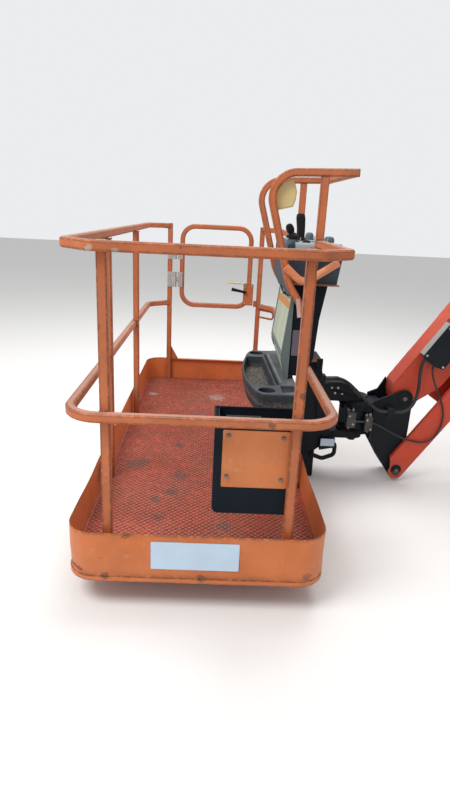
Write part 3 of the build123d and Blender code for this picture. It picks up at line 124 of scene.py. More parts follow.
class Shader:
    """One material's node tree; add() makes any node from its type, settings and inputs."""

    def __init__(self, name):
        self.material = bpy.data.materials.new(name)
        self.material.use_nodes = True
        self.tree = self.material.node_tree
        self.surface = self.tree.nodes["Principled BSDF"]
        self.place = self.add("TexCoord", {}, {}, "Object")

    def add(self, kind, settings, inputs, output=0):
        node = self.tree.nodes.new("ShaderNode" + kind)
        for key, value in settings.items():
            setattr(node, key, value)
        for key, value in inputs.items():
            self.feed(node.inputs[key], value)
        return Wire(self, node.outputs[output])

    def feed(self, socket, value):
        if isinstance(value, Wire):
            self.tree.links.new(value.socket, socket)
        elif socket.type == "RGBA" and len(value) == 3:
            socket.default_value = (*value, 1)
        else:
            socket.default_value = value

    def noise(self, scale, detail=4, rough=0.55, stretch=None, offset=0.0):
        """Cloudy noise from 0 to 1 with its middle at 0.5; stretch scales it along the three axes."""
        place = self.place
        if stretch or offset:
            place = self.add("Mapping", {}, {
                "Vector": place,
                "Location": (offset, offset, offset),
                "Scale": stretch or (1, 1, 1),
            })
        return self.add("TexNoise", {}, {
            "Vector": place, "Scale": scale, "Detail": detail, "Roughness": rough,
        })

    def mix(self, share, first, second):
        return self.add("Mix", {"data_type": "RGBA"}, {"Factor": share, 6: first, 7: second}, 2)

    def edges(self, radius):
        """How far a rounded normal leans from the real one: 0 on flats, towards 1 along sharp edges."""
        soft = self.add("Bevel", {"samples": 4}, {"Radius": radius})
        true = self.add("NewGeometry", {}, {}, "Normal")
        return 1 - self.add("VectorMath", {"operation": "DOT_PRODUCT"}, {0: soft, 1: true}, "Value")

    def near(self, point, radius):
        """1 at a point given in millimetres from the deck's near edge, falling to 0 at a radius."""
        ends = {0: self.place, 1: tuple(at(*point))}
        gap = self.add("VectorMath", {"operation": "DISTANCE"}, ends, "Value")
        return gap.between(radius / 1000, radius / 4000)

    def bump(self, height, depth, strength=1.0):
        return self.add("Bump", {}, {"Height": height, "Distance": depth, "Strength": strength})

    def finish(self, **sockets):
        for name, value in sockets.items():
            self.feed(self.surface.inputs[name.replace("_", " ")], value)
        return self.material


# Floor and light: a pale studio floor and sky, a broad lamp at the near left and another over the far end
FLOOR_SIZE = 40.0
FLOOR_TONE = (0.80, 0.79, 0.77)
SKY_LIGHT, BACKDROP_LIGHT = 0.46, 0.86
floor_z = cad_box[0][2]
floor_mesh = bpy.data.meshes.new("studio_floor")
corners = FLOOR_SIZE * np.array([[-1, -1], [1, -1], [1, 1], [-1, 1]]) / 2
floor_mesh.from_pydata([(*c, floor_z) for c in corners], [], [(0, 1, 2, 3)])
studio_floor = bpy.data.objects.new("studio_floor", floor_mesh)
bpy.context.scene.collection.objects.link(studio_floor)
ground = Shader("studio_floor")
floor_mesh.materials.append(ground.finish(Base_Color=FLOOR_TONE, Roughness=0.9))
world = bpy.data.worlds.new("studio")
bpy.context.scene.world = world
world.use_nodes = True
tree = world.node_tree
paths = tree.nodes.new("ShaderNodeLightPath")
seen = tree.nodes.new("ShaderNodeMath")
seen.operation = "MAXIMUM"
tree.links.new(paths.outputs["Is Camera Ray"], seen.inputs[0])
strength = tree.nodes.new("ShaderNodeMapRange")
strength.inputs["To Min"].default_value = SKY_LIGHT
strength.inputs["To Max"].default_value = BACKDROP_LIGHT
tree.links.new(seen.outputs[0], strength.inputs["Value"])
backdrop = tree.nodes["Background"]
backdrop.inputs["Color"].default_value = (0.97, 0.98, 1.0, 1)
tree.links.new(strength.outputs[0], backdrop.inputs["Strength"])
# name, power, size, place, target
LAMPS = (
    ("key_lamp", 175, 2.4, (-2300, -1300, 4300), (0, 900, 500)),
    ("top_lamp", 130, 3.0, (700, 2600, 4300), (200, 1200, 300)),
)
for name, power, size, place, target in LAMPS:
    lamp = bpy.data.objects.new(name, bpy.data.lights.new(name, "AREA"))
    bpy.context.scene.collection.objects.link(lamp)
    lamp.data.energy, lamp.data.size = power, size
    aim = at(*target) - at(*place)
    frame_z = -aim / np.linalg.norm(aim)
    frame_x = np.cross((0, 1, 0), frame_z)
    frame_x /= np.linalg.norm(frame_x)
    turn = np.eye(4)
    turn[:3, 0], turn[:3, 1], turn[:3, 2] = frame_x, np.cross(frame_z, frame_x), frame_z
    turn[:3, 3] = at(*place)
    lamp.matrix_world = Matrix(turn)


# Hydraulic hoses and the sensor cable: black rubber hoses in a woven sleeve run from the column past
# the rotator and on to the jib, and a thin cable hangs in a loop beside the head.
def nurbs_line(points):
    """Points along the smooth open spline whose control points are given, as an array."""
    curve = bpy.data.curves.new("route", "CURVE")
    curve.dimensions = "3D"
    curve.resolution_u = 10
    spline = curve.splines.new("NURBS")
    spline.points.add(len(points) - 1)
    spline.points.foreach_set("co", np.c_[points, np.ones(len(points))].ravel())
    spline.order_u = 3
    spline.use_endpoint_u = True
    holder = bpy.data.objects.new("route", curve)
    mesh = bpy.data.meshes.new_from_object(holder)
    line = np.zeros(len(mesh.vertices) * 3)
    mesh.vertices.foreach_get("co", line)
    bpy.data.objects.remove(holder)
    bpy.data.meshes.remove(mesh)
    return line.reshape(-1, 3)


def grid_faces(rows, columns, around=True):
    """Quads between neighbouring points of a grid stored row by row; around closes each row."""
    row, column = np.meshgrid(np.arange(rows - 1), np.arange(columns - (not around)), indexing="ij")
    after = (column + 1) % columns
    first = row * columns + column
    second = row * columns + after
    return np.stack([first, second, second + columns, first + columns], -1).reshape(-1, 4)


def sweep(line, radius, sides=16, caps=True):
    """A tube: at each point of the line a ring in the plane square to the line, with one radius or one
    for each point; the ring's first direction is carried from point to point by the least turn."""
    line = np.asarray(line, float)
    ahead = np.gradient(line, axis=0)
    ahead /= np.linalg.norm(ahead, axis=1)[:, None]
    first = np.cross(ahead[0], (0.31, 0.95, 0.05))
    sides_x = [first / np.linalg.norm(first)]
    for direction in ahead[1:]:
        carried = sides_x[-1] - direction * (sides_x[-1] @ direction)
        sides_x.append(carried / np.linalg.norm(carried))
    x = np.array(sides_x)
    y = np.cross(ahead, x)
    turn = np.linspace(0, 2 * pi, sides, endpoint=False)
    rings = np.broadcast_to(radius, len(line))[:, None, None]
    shape = (
        line[:, None]
        + rings * np.cos(turn)[None, :, None] * x[:, None]
        + rings * np.sin(turn)[None, :, None] * y[:, None]
    )
    faces = grid_faces(len(line), sides).tolist()
    if caps:
        last = (len(line) - 1) * sides
        faces.append(list(range(sides))[::-1])
        faces.append([last + i for i in range(sides)])
    return shape.reshape(-1, 3), faces


def make(name, parts, body, material, angle=40, bevel=0.0):
    """One object from a list of (points, faces), shaded smooth below an angle in degrees."""
    points, faces, start = [], [], 0
    for part_points, part_faces in parts:
        points.append(np.asarray(part_points, float).reshape(-1, 3))
        faces += [[start + i for i in face] for face in part_faces]
        start += len(points[-1])
    mesh = bpy.data.meshes.new(name)
    mesh.from_pydata(np.concatenate(points).tolist(), [], faces)
    mesh.validate()
    thing = bpy.data.objects.new(name, mesh)
    bpy.context.scene.collection.objects.link(thing)
    mesh.materials.append(material)
    if bevel:
        rounding = thing.modifiers.new("rounded edges", "BEVEL")
        rounding.width, rounding.segments = bevel, 2
        rounding.limit_method, rounding.angle_limit = "ANGLE", radians(angle)
        rounding.use_clamp_overlap = True
    mesh.set_sharp_from_angle(angle=radians(angle))
    mesh.polygons.foreach_set("use_smooth", np.ones(len(mesh.polygons), bool))
    if body:
        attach(thing, body)
    return thing


rubber = Shader("hose rubber")
dust = rubber.noise(14).between(0.45, 0.75)
weave = (rubber.noise(900, 2) - 0.5) * 0.4
hose_rubber = rubber.finish(
    Base_Color=rubber.mix(dust * 0.5, (0.014, 0.015, 0.018), (0.065, 0.062, 0.060)),
    Roughness=0.55 + dust * 0.3,
    Normal=rubber.bump(weave, 0.0004),
)


JIB_TILT, PIN_X, UPPER_PIN_Z = radians(56.6), 1034, 320


def beside(s, h, y):
    """A point beside the jib: s along it from the head's upper pin, h square to it."""
    x = PIN_X + s * cos(JIB_TILT) - h * sin(JIB_TILT)
    return (x, y, UPPER_PIN_Z + s * sin(JIB_TILT) + h * cos(JIB_TILT))


# name, body at its far end, diameter, control points
HOSES = (
    ("hose_turn", "platform", 17, [
        (614, 1150, 402), (650, 1150, 402), (690, 1136, 410), (728, 1118, 396), (766, 1102, 364),
        (808, 1088, 326), (854, 1078, 288), (898, 1076, 256), (940, 1076, 256)]),
    ("hose_jib", "jib_arm", 17, [
        (976, 1076, 256), (1016, 1076, 256), (1050, 1077, 276), (1074, 1080, 312), (1086, 1086, 360),
        (1090, 1096, 410), (1089, 1104, 456), (1091, 1106, 496), beside(208, 62, 1107),
        beside(240, 62, 1107)]),
    ("cable_jib", "jib_arm", 9, [
        (875, 1082, 190), (908, 1078, 178), (946, 1076, 160), (984, 1076, 139), (1022, 1076, 121),
        (1062, 1076, 107), (1104, 1076, 98), (1146, 1077, 93), (1186, 1078, 106), (1216, 1079, 140),
        (1232, 1080, 186), (1236, 1080, 236), (1228, 1080, 286), (1208, 1081, 332), (1184, 1083, 376),
        (1165, 1086, 418), (1151, 1096, 458), beside(212, 2, 1111), beside(240, 2, 1112)]),
)
for name, far_body, width, route in HOSES:
    line = nurbs_line(np.array([at(*p) for p in route]))
    run = make("run_" + name, [sweep(line, width / 2000)], None, hose_rubber)
    start, end = (line[0], line[-1]) if name != "hose_turn" else (line[-1], line[0])
    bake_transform(run)
    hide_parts(name)
    width / 1000


# Finishes: orange enamel, sun faded and scratched, chipped to dark rust along the edges, with a painted
# highlight on the rails' upward faces; satin black steel and moulded plastics with dust in clouds; plated and
# bare steel. The marks are stains and scuffs, each a place in millimetres, a radius and a colour.
RUST, RUST_PALE = (0.045, 0.024, 0.018), (0.14, 0.085, 0.06)
# GRIME and CHALK are dirt and chalking; the third colour is a painted highlight for faces that point up
GRIME, CHALK, PAINTED_TOP_HIGHLIGHT = (0.17, 0.095, 0.06), (0.72, 0.50, 0.38), (0.36, 0.27, 0.23)


def dress(material, *names):
    """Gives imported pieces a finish."""
    for name in names:
        nodes[name].data.materials.clear()
        nodes[name].data.materials.append(material)


def worn_paint(name, colour, faded, chips, dirt, marks=(), top_highlight=0.0):
    """Enamel that drifts from its colour to a faded one in clouds, with short dark scratches along
    stretched noise, and with chips where noise rises over a threshold that drops near edges."""
    paint = Shader(name)
    clouds = paint.noise(2.2, 5).between(0.32, 0.70)
    patches = paint.noise(9, 6, 0.65, offset=3.1).between(0.40, 0.72)
    tone = paint.mix(clouds * 0.8, colour, faded)
    tone = paint.mix(patches * 0.30, tone, tuple(c * 0.55 for c in colour))
    edge = (paint.edges(0.008) * 30).between(0.12, 0.60)
    edge = edge * paint.noise(46, 7, 0.8, offset=0.4).between(0.44, 0.51) * chips
    fine = paint.noise(75, 6, 0.7, offset=1.7)
    broad = paint.noise(7, 4, 0.6, offset=5.3)
    bare = (fine + broad * 0.55).between(1.08, 1.12) + edge
    spots = (paint.noise(38, 5, 0.6, offset=8.4) + broad * 0.3).between(0.88, 0.92) * chips
    lines = paint.noise(120, 3, 0.6, stretch=(0.12, 0.10, 1.0), offset=4.4).between(0.70, 0.74)
    lines = lines * paint.noise(6, 3, offset=7.7).between(0.52, 0.60) * chips
    bare = bare.math("MINIMUM", bare + spots + lines * 0.7, 1.0)
    grime = paint.noise(5.5, 6, 0.7, offset=6.6).between(0.42, 0.85) * dirt
    pale = paint.noise(23, 4, 0.7, offset=2.2).between(0.60, 0.72) * 0.14
    tone = paint.mix(pale, tone, CHALK)
    # painted highlight: faces that point up are mixed toward a pale pink, standing in for light on the tops
    if top_highlight:
        upward = paint.add("SeparateXYZ", {}, {0: paint.add("NewGeometry", {}, {}, "Normal")}, 2)
        tone = paint.mix(upward.between(0.7, 0.95) * top_highlight, tone, PAINTED_TOP_HIGHLIGHT)
    tone = paint.mix(grime * 0.7, tone, GRIME)
    tone = paint.mix(bare * 0.9, tone, paint.mix(fine, RUST, RUST_PALE))
    ragged = paint.noise(30, 7, 0.8, offset=9.1) * 3.4 - 1.7
    for point, radius, mark in marks:
        blot = (paint.near(point, radius) + ragged).between(0.60, 0.85)
        tone = paint.mix(blot * 0.65, tone, mark)
    peel = paint.noise(420, 2) * 0.12
    return paint.finish(
        Base_Color=tone,
        Roughness=(0.45 + grime * 0.25 + pale * 0.3) * (1 - bare) + bare * 0.85,
        Normal=paint.bump(peel - bare * 1.0, 0.0005),
        Specular_IOR_Level=0.35,
    )


RAIL_MARKS = (
    ((-343, 0, 1086), 22, (0.42, 0.36, 0.33)), ((-265, 0, 1082), 16, (0.38, 0.30, 0.26)),
    ((322, 30, 655), 26, (0.07, 0.045, 0.035)), ((328, 30, 560), 22, (0.07, 0.045, 0.035)),
    ((-328, 30, 850), 24, (0.08, 0.05, 0.04)), ((226, 2, 566), 22, (0.08, 0.05, 0.04)),
)
# the last argument gives the rails a painted highlight on their upward faces
rail_paint = worn_paint(
    "rail paint", (0.48, 0.118, 0.034), (0.58, 0.175, 0.068), 1.3, 0.8, RAIL_MARKS, 0.5)
dress(rail_paint, "top_rail", "mid_rail", "posts_near", "posts_left", "posts_right", "posts_gate",
      "corner_loop", "guard_near", "guard_far", "guard_bars", "console_shelf", "gate_frame")
TOE_MARKS = (
    ((-245, 0, 141), 30, (0.07, 0.045, 0.02)), ((-412, 0, -8), 34, (0.12, 0.065, 0.045)),
    ((-316, 0, -17), 30, (0.07, 0.045, 0.035)), ((388, 0, -6), 34, (0.14, 0.07, 0.05)),
    ((-457, 600, 80), 90, (0.12, 0.06, 0.045)), ((14, 0, -19), 30, (0.07, 0.045, 0.035)),
)
toe_paint = worn_paint(
    "toeboard paint", (0.60, 0.155, 0.040), (0.66, 0.225, 0.085), 0.8, 0.45, TOE_MARKS)
dress(toe_paint, "floor_frame")
cover_paint = worn_paint("cover paint", (0.60, 0.175, 0.050), (0.64, 0.215, 0.075), 0.3, 0.25)
dress(cover_paint, "storage_cover")
hoop_paint = worn_paint("hoop paint", (0.66, 0.17, 0.050), (0.74, 0.32, 0.17), 0.4, 0.3)
dress(hoop_paint, "hoop_rail")
# dark scuffs and pale dust on the deck: x, y, radius, colour
SCUFFS = tuple(((x, y, 0), radius, tone) for x, y, radius, tone in (
    (-136, 598, 60, (0.10, 0.07, 0.06)), (-105, 778, 70, (0.11, 0.08, 0.07)),
    (-195, 528, 55, (0.11, 0.08, 0.07)), (-168, 377, 45, (0.10, 0.07, 0.06)),
    (-131, 1135, 60, (0.12, 0.08, 0.07)), (68, 1989, 110, (0.40, 0.33, 0.30)),
    (-376, 2013, 60, (0.36, 0.38, 0.42)), (-330, 900, 110, (0.14, 0.09, 0.08)),
    (100, 320, 70, (0.14, 0.09, 0.08)), (-40, 1600, 120, (0.16, 0.11, 0.10)),
))
deck_paint = worn_paint("deck paint", (0.40, 0.070, 0.040), (0.46, 0.12, 0.080), 0.8, 0.9, SCUFFS)
dress(deck_paint, "floor_deck")
jib_paint = worn_paint("jib paint", (0.56, 0.052, 0.020), (0.60, 0.088, 0.042), 0.5, 0.45)
dress(jib_paint, "jib_beam", "link_plate_near", "link_plate_far", "link_floor")


def worn_black(name, colour, dusty, rough=0.5, amount=0.5, gloss=0.22):
    """Satin black with dust in clouds and a greyer line along its edges, which is both edge wear and a
    painted highlight.
    """
    black = Shader(name)
    dust = black.noise(6, 6, 0.65).between(0.42, 0.80) * amount
    # edge wear and painted highlight: a greyer line along the edges
    edge_wear_and_highlight = (black.edges(0.005) + black.noise(60, 5) * 0.5).between(0.52, 0.75)
    tone = black.mix(dust, colour, dusty)
    return black.finish(
        Base_Color=black.mix(edge_wear_and_highlight * 0.5, tone, (0.16, 0.155, 0.15)),
        Roughness=rough + dust * 0.3,
        Normal=black.bump(black.noise(380, 2) * 0.2 - edge_wear_and_highlight * 0.4, 0.0004),
        Specular_IOR_Level=gloss,
    )


black_paint = worn_black("black paint", (0.007, 0.010, 0.014), (0.030, 0.030, 0.031), 0.5, 0.5, 0.16)
dress(black_paint, "column", "top_arm", "bottom_arm", "floor_beams", "loop_handle", "rotator",
      "head_plates", "base_plates", "base_tubes", "jib_cover", "cylinder_barrel", "hose_clamp")
moulded_black = worn_black("moulded black", (0.006, 0.011, 0.017), (0.024, 0.029, 0.034), 0.6, 0.3, 0.12)
dress(moulded_black, "console_base", "storage_box", "controls", "latch_grip")
slate_plastic = worn_black("slate plastic", (0.036, 0.056, 0.074), (0.095, 0.108, 0.115), 0.55, 0.45)
dress(slate_plastic, "console_housing")
panel_plastic = worn_black("panel plastic", (0.25, 0.285, 0.30), (0.20, 0.21, 0.21), 0.5, 0.5)
dress(panel_plastic, "console_panel")
green_plastic = worn_black("grey green plastic", (0.13, 0.17, 0.165), (0.10, 0.11, 0.105), 0.5, 0.5)
dress(green_plastic, "document_box")
cream_plastic = worn_black("cream plastic", (0.66, 0.52, 0.24), (0.46, 0.35, 0.18), 0.45, 0.6, 0.4)
dress(cream_plastic, "guard_panel")
plate_white = worn_black("plate white", (0.52, 0.66, 0.80), (0.40, 0.40, 0.40), 0.4, 0.35, 0.4)
dress(plate_white, "near_plate")


def bare_metal(name, colour, rough, amount=0.5):
    """Plated steel with brushed streaks and dull patches."""
    metal = Shader(name)
    dull = metal.noise(16, 6, 0.7).between(0.40, 0.75) * amount
    brushed = metal.noise(140, 3, 0.6, stretch=(1.0, 0.08, 1.0))
    return metal.finish(
        Base_Color=metal.mix(dull, colour, tuple(c * 0.42 for c in colour)),
        Metallic=1.0 - dull * 0.5,
        Roughness=rough + dull * 0.35 + brushed * 0.12,
        Normal=metal.bump(brushed, 0.0003),
    )


zinc = bare_metal("zinc plate", (0.56, 0.55, 0.52), 0.38)
dress(zinc, "gate_hinge", "post_hinge")
cast_metal = bare_metal("cast metal", (0.12, 0.118, 0.11), 0.55, 0.7)
dress(cast_metal, "valve_block", "latch_strip")
dull_steel = bare_metal("dull steel", (0.26, 0.23, 0.19), 0.5, 0.7)
pin_steel = bare_metal("pin steel", (0.11, 0.10, 0.09), 0.45, 0.7)
dress(pin_steel, "head_pins", "base_pins")
yellow_zinc = bare_metal("yellow zinc", (0.55, 0.42, 0.14), 0.35, 0.4)
dress(yellow_zinc, "latch_rod")
chrome = bare_metal("rod chrome", (0.78, 0.78, 0.79), 0.10, 0.15)
dress(chrome, "cylinder_rod")


# Deck: expanded steel mesh, whose strands cross in long diamonds and stand a little over the sheet
HALF_WIDTH, HALF_LENGTH, CORNER = 457.0, 1220.0, 100.0
DECK_HALF, DECK_CORNER, DECK_START, DECK_RUN = 450, 97, 10, 2424
STRAND_PITCH = STRAND_STEP = 13.0
# across the strand from its middle, height over the sheet
STRAND_SECTION = ((-2.5, 0.1), (-1.6, 2.4), (1.2, 2.0), (2.2, 0.1))
strands = []
for k in range(int(DECK_RUN / STRAND_PITCH)):
    y = DECK_START + STRAND_PITCH * (k + 0.5)
    inset = max(0.0, DECK_CORNER - min(y, 2 * HALF_LENGTH - y))
    reach = DECK_HALF - DECK_CORNER + (DECK_CORNER ** 2 - inset ** 2) ** 0.5
    reach = int(reach / STRAND_STEP)
    i = np.arange(-reach, reach + 1)
    middle = y + STRAND_PITCH / 2 * (-1.0) ** (i + k)
    rows = [np.c_[i * STRAND_STEP, middle + w, np.full(len(i), z)] for w, z in STRAND_SECTION]
    shape = DATUM + np.stack(rows, 1).reshape(-1, 3) / 1000
    strands.append((shape, grid_faces(len(i), len(STRAND_SECTION), False)))
strand_paint = worn_paint("strand paint", (0.52, 0.100, 0.050), (0.60, 0.20, 0.14), 1.2, 0.9, SCUFFS)
make("deck_strands", strands, "platform", strand_paint, angle=20)


# Toeboard: one long sheet of steel bent round the platform, dented where it has been knocked, with
# rounded edges, a folded lip at the gate and dark scrapes along its foot.
CORNER_STEPS = 9


def outline(step):
    """Places and outward directions along the platform's edge, from the middle of its near side."""
    short, long = HALF_WIDTH - CORNER, 2 * (HALF_LENGTH - CORNER)
    quarter = (0, 90)
    runs = [(short, 0), quarter, (long, 0), quarter, (2 * short, 0), quarter, (long, 0), quarter, (short, 0)]
    spot, turn, places, normals = np.zeros(2), 0.0, [], []
    for length, corner in runs:
        ahead = np.array([cos(radians(turn)), sin(radians(turn))])
        centre = spot + CORNER * np.array([-ahead[1], ahead[0]])
        count = CORNER_STEPS if corner else max(int(length / step), 1)
        for part in range(count):
            if corner:
                angle = radians(turn + corner * part / count)
                outward = np.array([sin(angle), -cos(angle)])
                places.append(centre + CORNER * outward)
            else:
                outward = np.array([ahead[1], -ahead[0]])
                places.append(spot + ahead * length * part / count)
            normals.append(outward)
        turn += corner
        if corner:
            spot = centre + CORNER * np.array([sin(radians(turn)), -cos(radians(turn))])
        else:
            spot = spot + ahead * length
    return np.array(places), np.array(normals)


# x, y, height, width along the board, width up it, depth of each dent
DENTS = (
    (-440, 30, -5, 60, 40, 7.0), (-250, 0, 150, 90, 55, 2.5), (120, 0, 30, 170, 60, 2.2),
    (430, 20, 60, 70, 50, 3.5), (-457, 400, 130, 130, 60, 4.0), (-457, 1200, 60, 240, 70, 3.5),
    (457, 500, 140, 140, 50, 4.5), (457, 1500, 100, 220, 70, 3.0), (0, 2440, 60, 200, 60, 3.0),
)
places, normals = outline(24.0)
# distance in from the platform's edge, height
levels = np.array([
    (3.0, -20), (1.6, -20), (0.4, -17.5), (0.4, 20), (0.4, 60), (0.4, 100), (0.4, 135), (0.4, 147.5),
    (1.0, 150), (1.9, 150.8), (2.7, 150), (3.2, 147.5), (3.2, 100), (3.2, 40), (3.2, -20)])
board = np.zeros((len(levels), len(places), 3))
for row, (inset, z) in enumerate(levels):
    depth = np.full(len(places), float(inset))
    for x, y, height, wide, tall, push in DENTS:
        away = np.hypot(places[:, 0] - x, places[:, 1] - y)
        depth += push * np.exp(-(away / wide) ** 2 - ((z - height) / tall) ** 2)
    board[row, :, :2] = places - normals * depth[:, None]
    board[row, :, 2] = z


def block(low, high):
    """A box between two corners in millimetres."""
    x, y, z = zip(low, high)
    points = [at(x[i & 1], y[i >> 1 & 1], z[i >> 2]) for i in range(8)]
    return points, [(0, 2, 3, 1), (4, 5, 7, 6), (0, 1, 5, 4), (2, 6, 7, 3), (0, 4, 6, 2), (1, 3, 7, 5)]


toe_faces = [face[::-1] for face in grid_faces(len(levels), len(places)).tolist()]
toe = make("toe_sheet", [
    (DATUM + board.reshape(-1, 3) / 1000, toe_faces),
    block((-284, 2410, 148.2), (318, 2437, 150.8)),
], "platform", toe_paint, angle=35)
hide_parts("toeboard")


# Welds: rippled beads where the rails meet the posts, round the posts' feet, at the gate's lugs and
# where the guard loops meet the top rail
def bead(points, radius=3.0):
    """A weld bead along straight runs: a tube whose radius swells at each ripple."""
    points = np.array([at(*p) for p in points])
    steps = np.r_[0, np.cumsum(np.linalg.norm(np.diff(points, axis=0), axis=1))]
    along = np.arange(0, steps[-1], 0.0022)
    line = np.stack([np.interp(along, steps, points[:, i]) for i in range(3)], 1)
    swell = radius / 1000 * (1 + 0.22 * np.sin(along * 2 * pi / 0.0075) + 0.12 * np.sin(along * 130))
    swell[[0, -1]] *= 0.5
    return sweep(line, swell, 7)


NEAR_POSTS_X = (-312, 312)
SIDE_POSTS = ((-427, 750), (-427, 1600), (427, 700), (427, 1300))
# x of each gate post, and the way in toward the gate
GATE_POSTS = ((-302, 1), (336, -1))
MID_RAIL_EDGES, TOP_RAIL_FOOT = (548, 580), 1078
POST_HALF, FOOT_LIMIT = 17, 2435
welds = []
for x in NEAR_POSTS_X:
    for z in (*MID_RAIL_EDGES, TOP_RAIL_FOOT):
        welds.append(bead([(x - POST_HALF, 32, z), (x + POST_HALF, 32, z)]))
    for z in (564, 1094):
        for side_x in (x - 16, x + 16):
            welds.append(bead([(side_x, 33, z - 15), (side_x, 33, z + 15)], 2.4))
for x, y in SIDE_POSTS:
    welds.append(bead([(x - 15, y - 16.5, TOP_RAIL_FOOT), (x + 15, y - 16.5, TOP_RAIL_FOOT)], 2.4))
    inner = x - 16.5 * np.sign(x)
    welds.append(bead([(inner, y - 15, TOP_RAIL_FOOT), (inner, y + 15, TOP_RAIL_FOOT)], 2.4))
    rail = x + 2.5 * np.sign(x)
    for z in MID_RAIL_EDGES:
        welds.append(bead([(rail, y - 16.5, z), (inner, y - 16.5, z)], 2.2))
near_feet, gate_feet = [(x, 48) for x in NEAR_POSTS_X], [(x, 2420) for x, _ in GATE_POSTS]
for x, y in (*near_feet, *SIDE_POSTS, *gate_feet):
    left, right, front, back = x - POST_HALF, x + POST_HALF, y - POST_HALF, min(y + POST_HALF, FOOT_LIMIT)
    foot = [(left, front, 1), (right, front, 1), (right, back, 1), (left, back, 1), (left, front, 1)]
    welds.append(bead(foot, 3.2))
for x, inward in GATE_POSTS:
    for z in (*MID_RAIL_EDGES, TOP_RAIL_FOOT):
        welds.append(bead([(x - inward * 16, 2403.5, z), (x - inward * 40, 2394, z)], 2.2))
    welds.append(bead([(x + inward * 17, 2416, 154), (x + inward * 17, 2416, 245)], 2.2))
    welds.append(bead([(x + inward * 18, 2416, 152.5), (x + inward * 64, 2416, 152.5)], 2.2))
for y in (685, 1285):
    welds.append(bead([(426, y, 1111.5), (456, y, 1111.5)], 2.6))
weld_paint = worn_paint("weld paint", (0.42, 0.11, 0.045), (0.52, 0.18, 0.09), 1.4, 0.8)
make("rail_welds", welds, "platform", weld_paint, angle=60)


# Tray: one moulding with a bowed rim, a deep pocket, two cup wells, a small recess, a groove and a
# broad shoulder against the console. Its top is a height over a plan that is stretched between the rim and
# the console; its side is drawn in toward the foot.
def ramp(value, low, high):
    """0 below low, 1 above high and a smooth step between."""
    t = np.clip((value - low) / (high - low), 0, 1)
    return t * t * (3 - 2 * t)


TRAY_NEAR, TRAY_FAR, TRAY_BACK, TRAY_TOP = 530, 1312, 392, 500
POCKET_DEPTH, CUP_DEPTH, RECESS_DEPTH = 52, 86, 13
# middle of its length, and how far from it the ends are drawn in
TRAY_MIDDLE, TRAY_ENDS = 920, 370
# y and x of each cup well
CUPS = ((587, 260), (1245, 256))
# y and x along the rim: a shallow bow that rounds in at both ends
TRAY_RIM = np.array([
    (530, 246), (545, 226), (566, 213), (600, 204), (671, 188), (740, 177), (807, 171), (900, 168),
    (985, 170), (1060, 178), (1110, 184), (1218, 201), (1270, 213), (1300, 228), (1312, 246)])
tray_y = np.r_[TRAY_NEAR, 531.5, np.linspace(534, 1308, 260), 1310.5, TRAY_FAR]
tray_u = np.r_[0, 0.008, np.linspace(0.02, 1, 80)]
y_grid, u_grid = np.meshgrid(tray_y, tray_u, indexing="ij")
bow = np.interp(tray_y, *TRAY_RIM.T)
rim_x = np.convolve(np.pad(bow, 6, mode="edge"), np.ones(13) / 13, "valid")
x_grid = rim_x[:, None] + u_grid * (TRAY_BACK - rim_x[:, None])
inner = x_grid - rim_x[:, None]
ridge_x = 285 + (1166 - y_grid) * 0.030
pocket = ramp(inner, 9, 17) * ramp(ridge_x - x_grid, 0, 7)
pocket = pocket * ramp(y_grid, 662, 672) * ramp(1168 - y_grid, 0, 10)
height = TRAY_TOP - POCKET_DEPTH * pocket + 5 * ramp(x_grid, 300, TRAY_BACK)
groove = np.exp(-((x_grid - ridge_x - 17) / 4.5) ** 2)
groove = groove * ramp(y_grid, 668, 690) * ramp(1230 - y_grid, 0, 20)
shoulder = np.exp(-((x_grid - ridge_x - 33) / 9.0) ** 2)
shoulder = shoulder * ramp(y_grid, 690, 720) * ramp(1250 - y_grid, 0, 30)
height += -14 * groove + 7 * shoulder
for y, x in CUPS:
    away = np.hypot(x_grid - x, y_grid - y)
    height -= CUP_DEPTH * (1 - ramp(away, 33.5, 36.5))
    height += 2.2 * np.exp(-((away - 42) / 3.5) ** 2)
recess = ramp(x_grid, 322, 328) * ramp(384 - x_grid, 0, 6)
recess = recess * ramp(y_grid, 560, 566) * ramp(660 - y_grid, 0, 6)
height -= RECESS_DEPTH * recess
edge_gap = np.minimum(inner, np.minimum(y_grid - TRAY_NEAR, TRAY_FAR - y_grid))
height -= 5 * (1 - ramp(edge_gap, -2, 6))
top = np.stack([x_grid, y_grid, height], -1)
rows, columns = height.shape
ring = np.r_[top[:, 0], top[-1, 1:], top[::-1, -1][1:], top[0, ::-1][1:-1]]
walls = [ring]
to_middle = TRAY_MIDDLE - ring[:, 1]
draw_x = np.clip(TRAY_BACK - ring[:, 0], 0, 40) / 40
draw_y = 0.6 * np.sign(to_middle) * (np.abs(to_middle) > TRAY_ENDS)
inward = np.stack([draw_x, draw_y], 1)
# drop below the top, how far the side is drawn in there
for drop, draw in ((12, 0.0), (45, 5.0), (78, 11.0), (94, 16.0), (99, 24.0)):
    level = ring.copy()
    level[:, 2] = TRAY_TOP - drop
    level[:, :2] += draw * inward
    walls.append(level)
side_faces = grid_faces(len(walls), len(ring)).tolist()
floor = [(len(walls) - 1) * len(ring) + i for i in range(len(ring))]
tray_shader = Shader("tray plastic")
tray_z = tray_shader.add("SeparateXYZ", {}, {0: tray_shader.place}, 2)


def across_levels(low, high):
    """0 to 1 between two heights in millimetres, for either order of the two."""
    return tray_z.between(at(0, 0, low)[2], at(0, 0, high)[2])
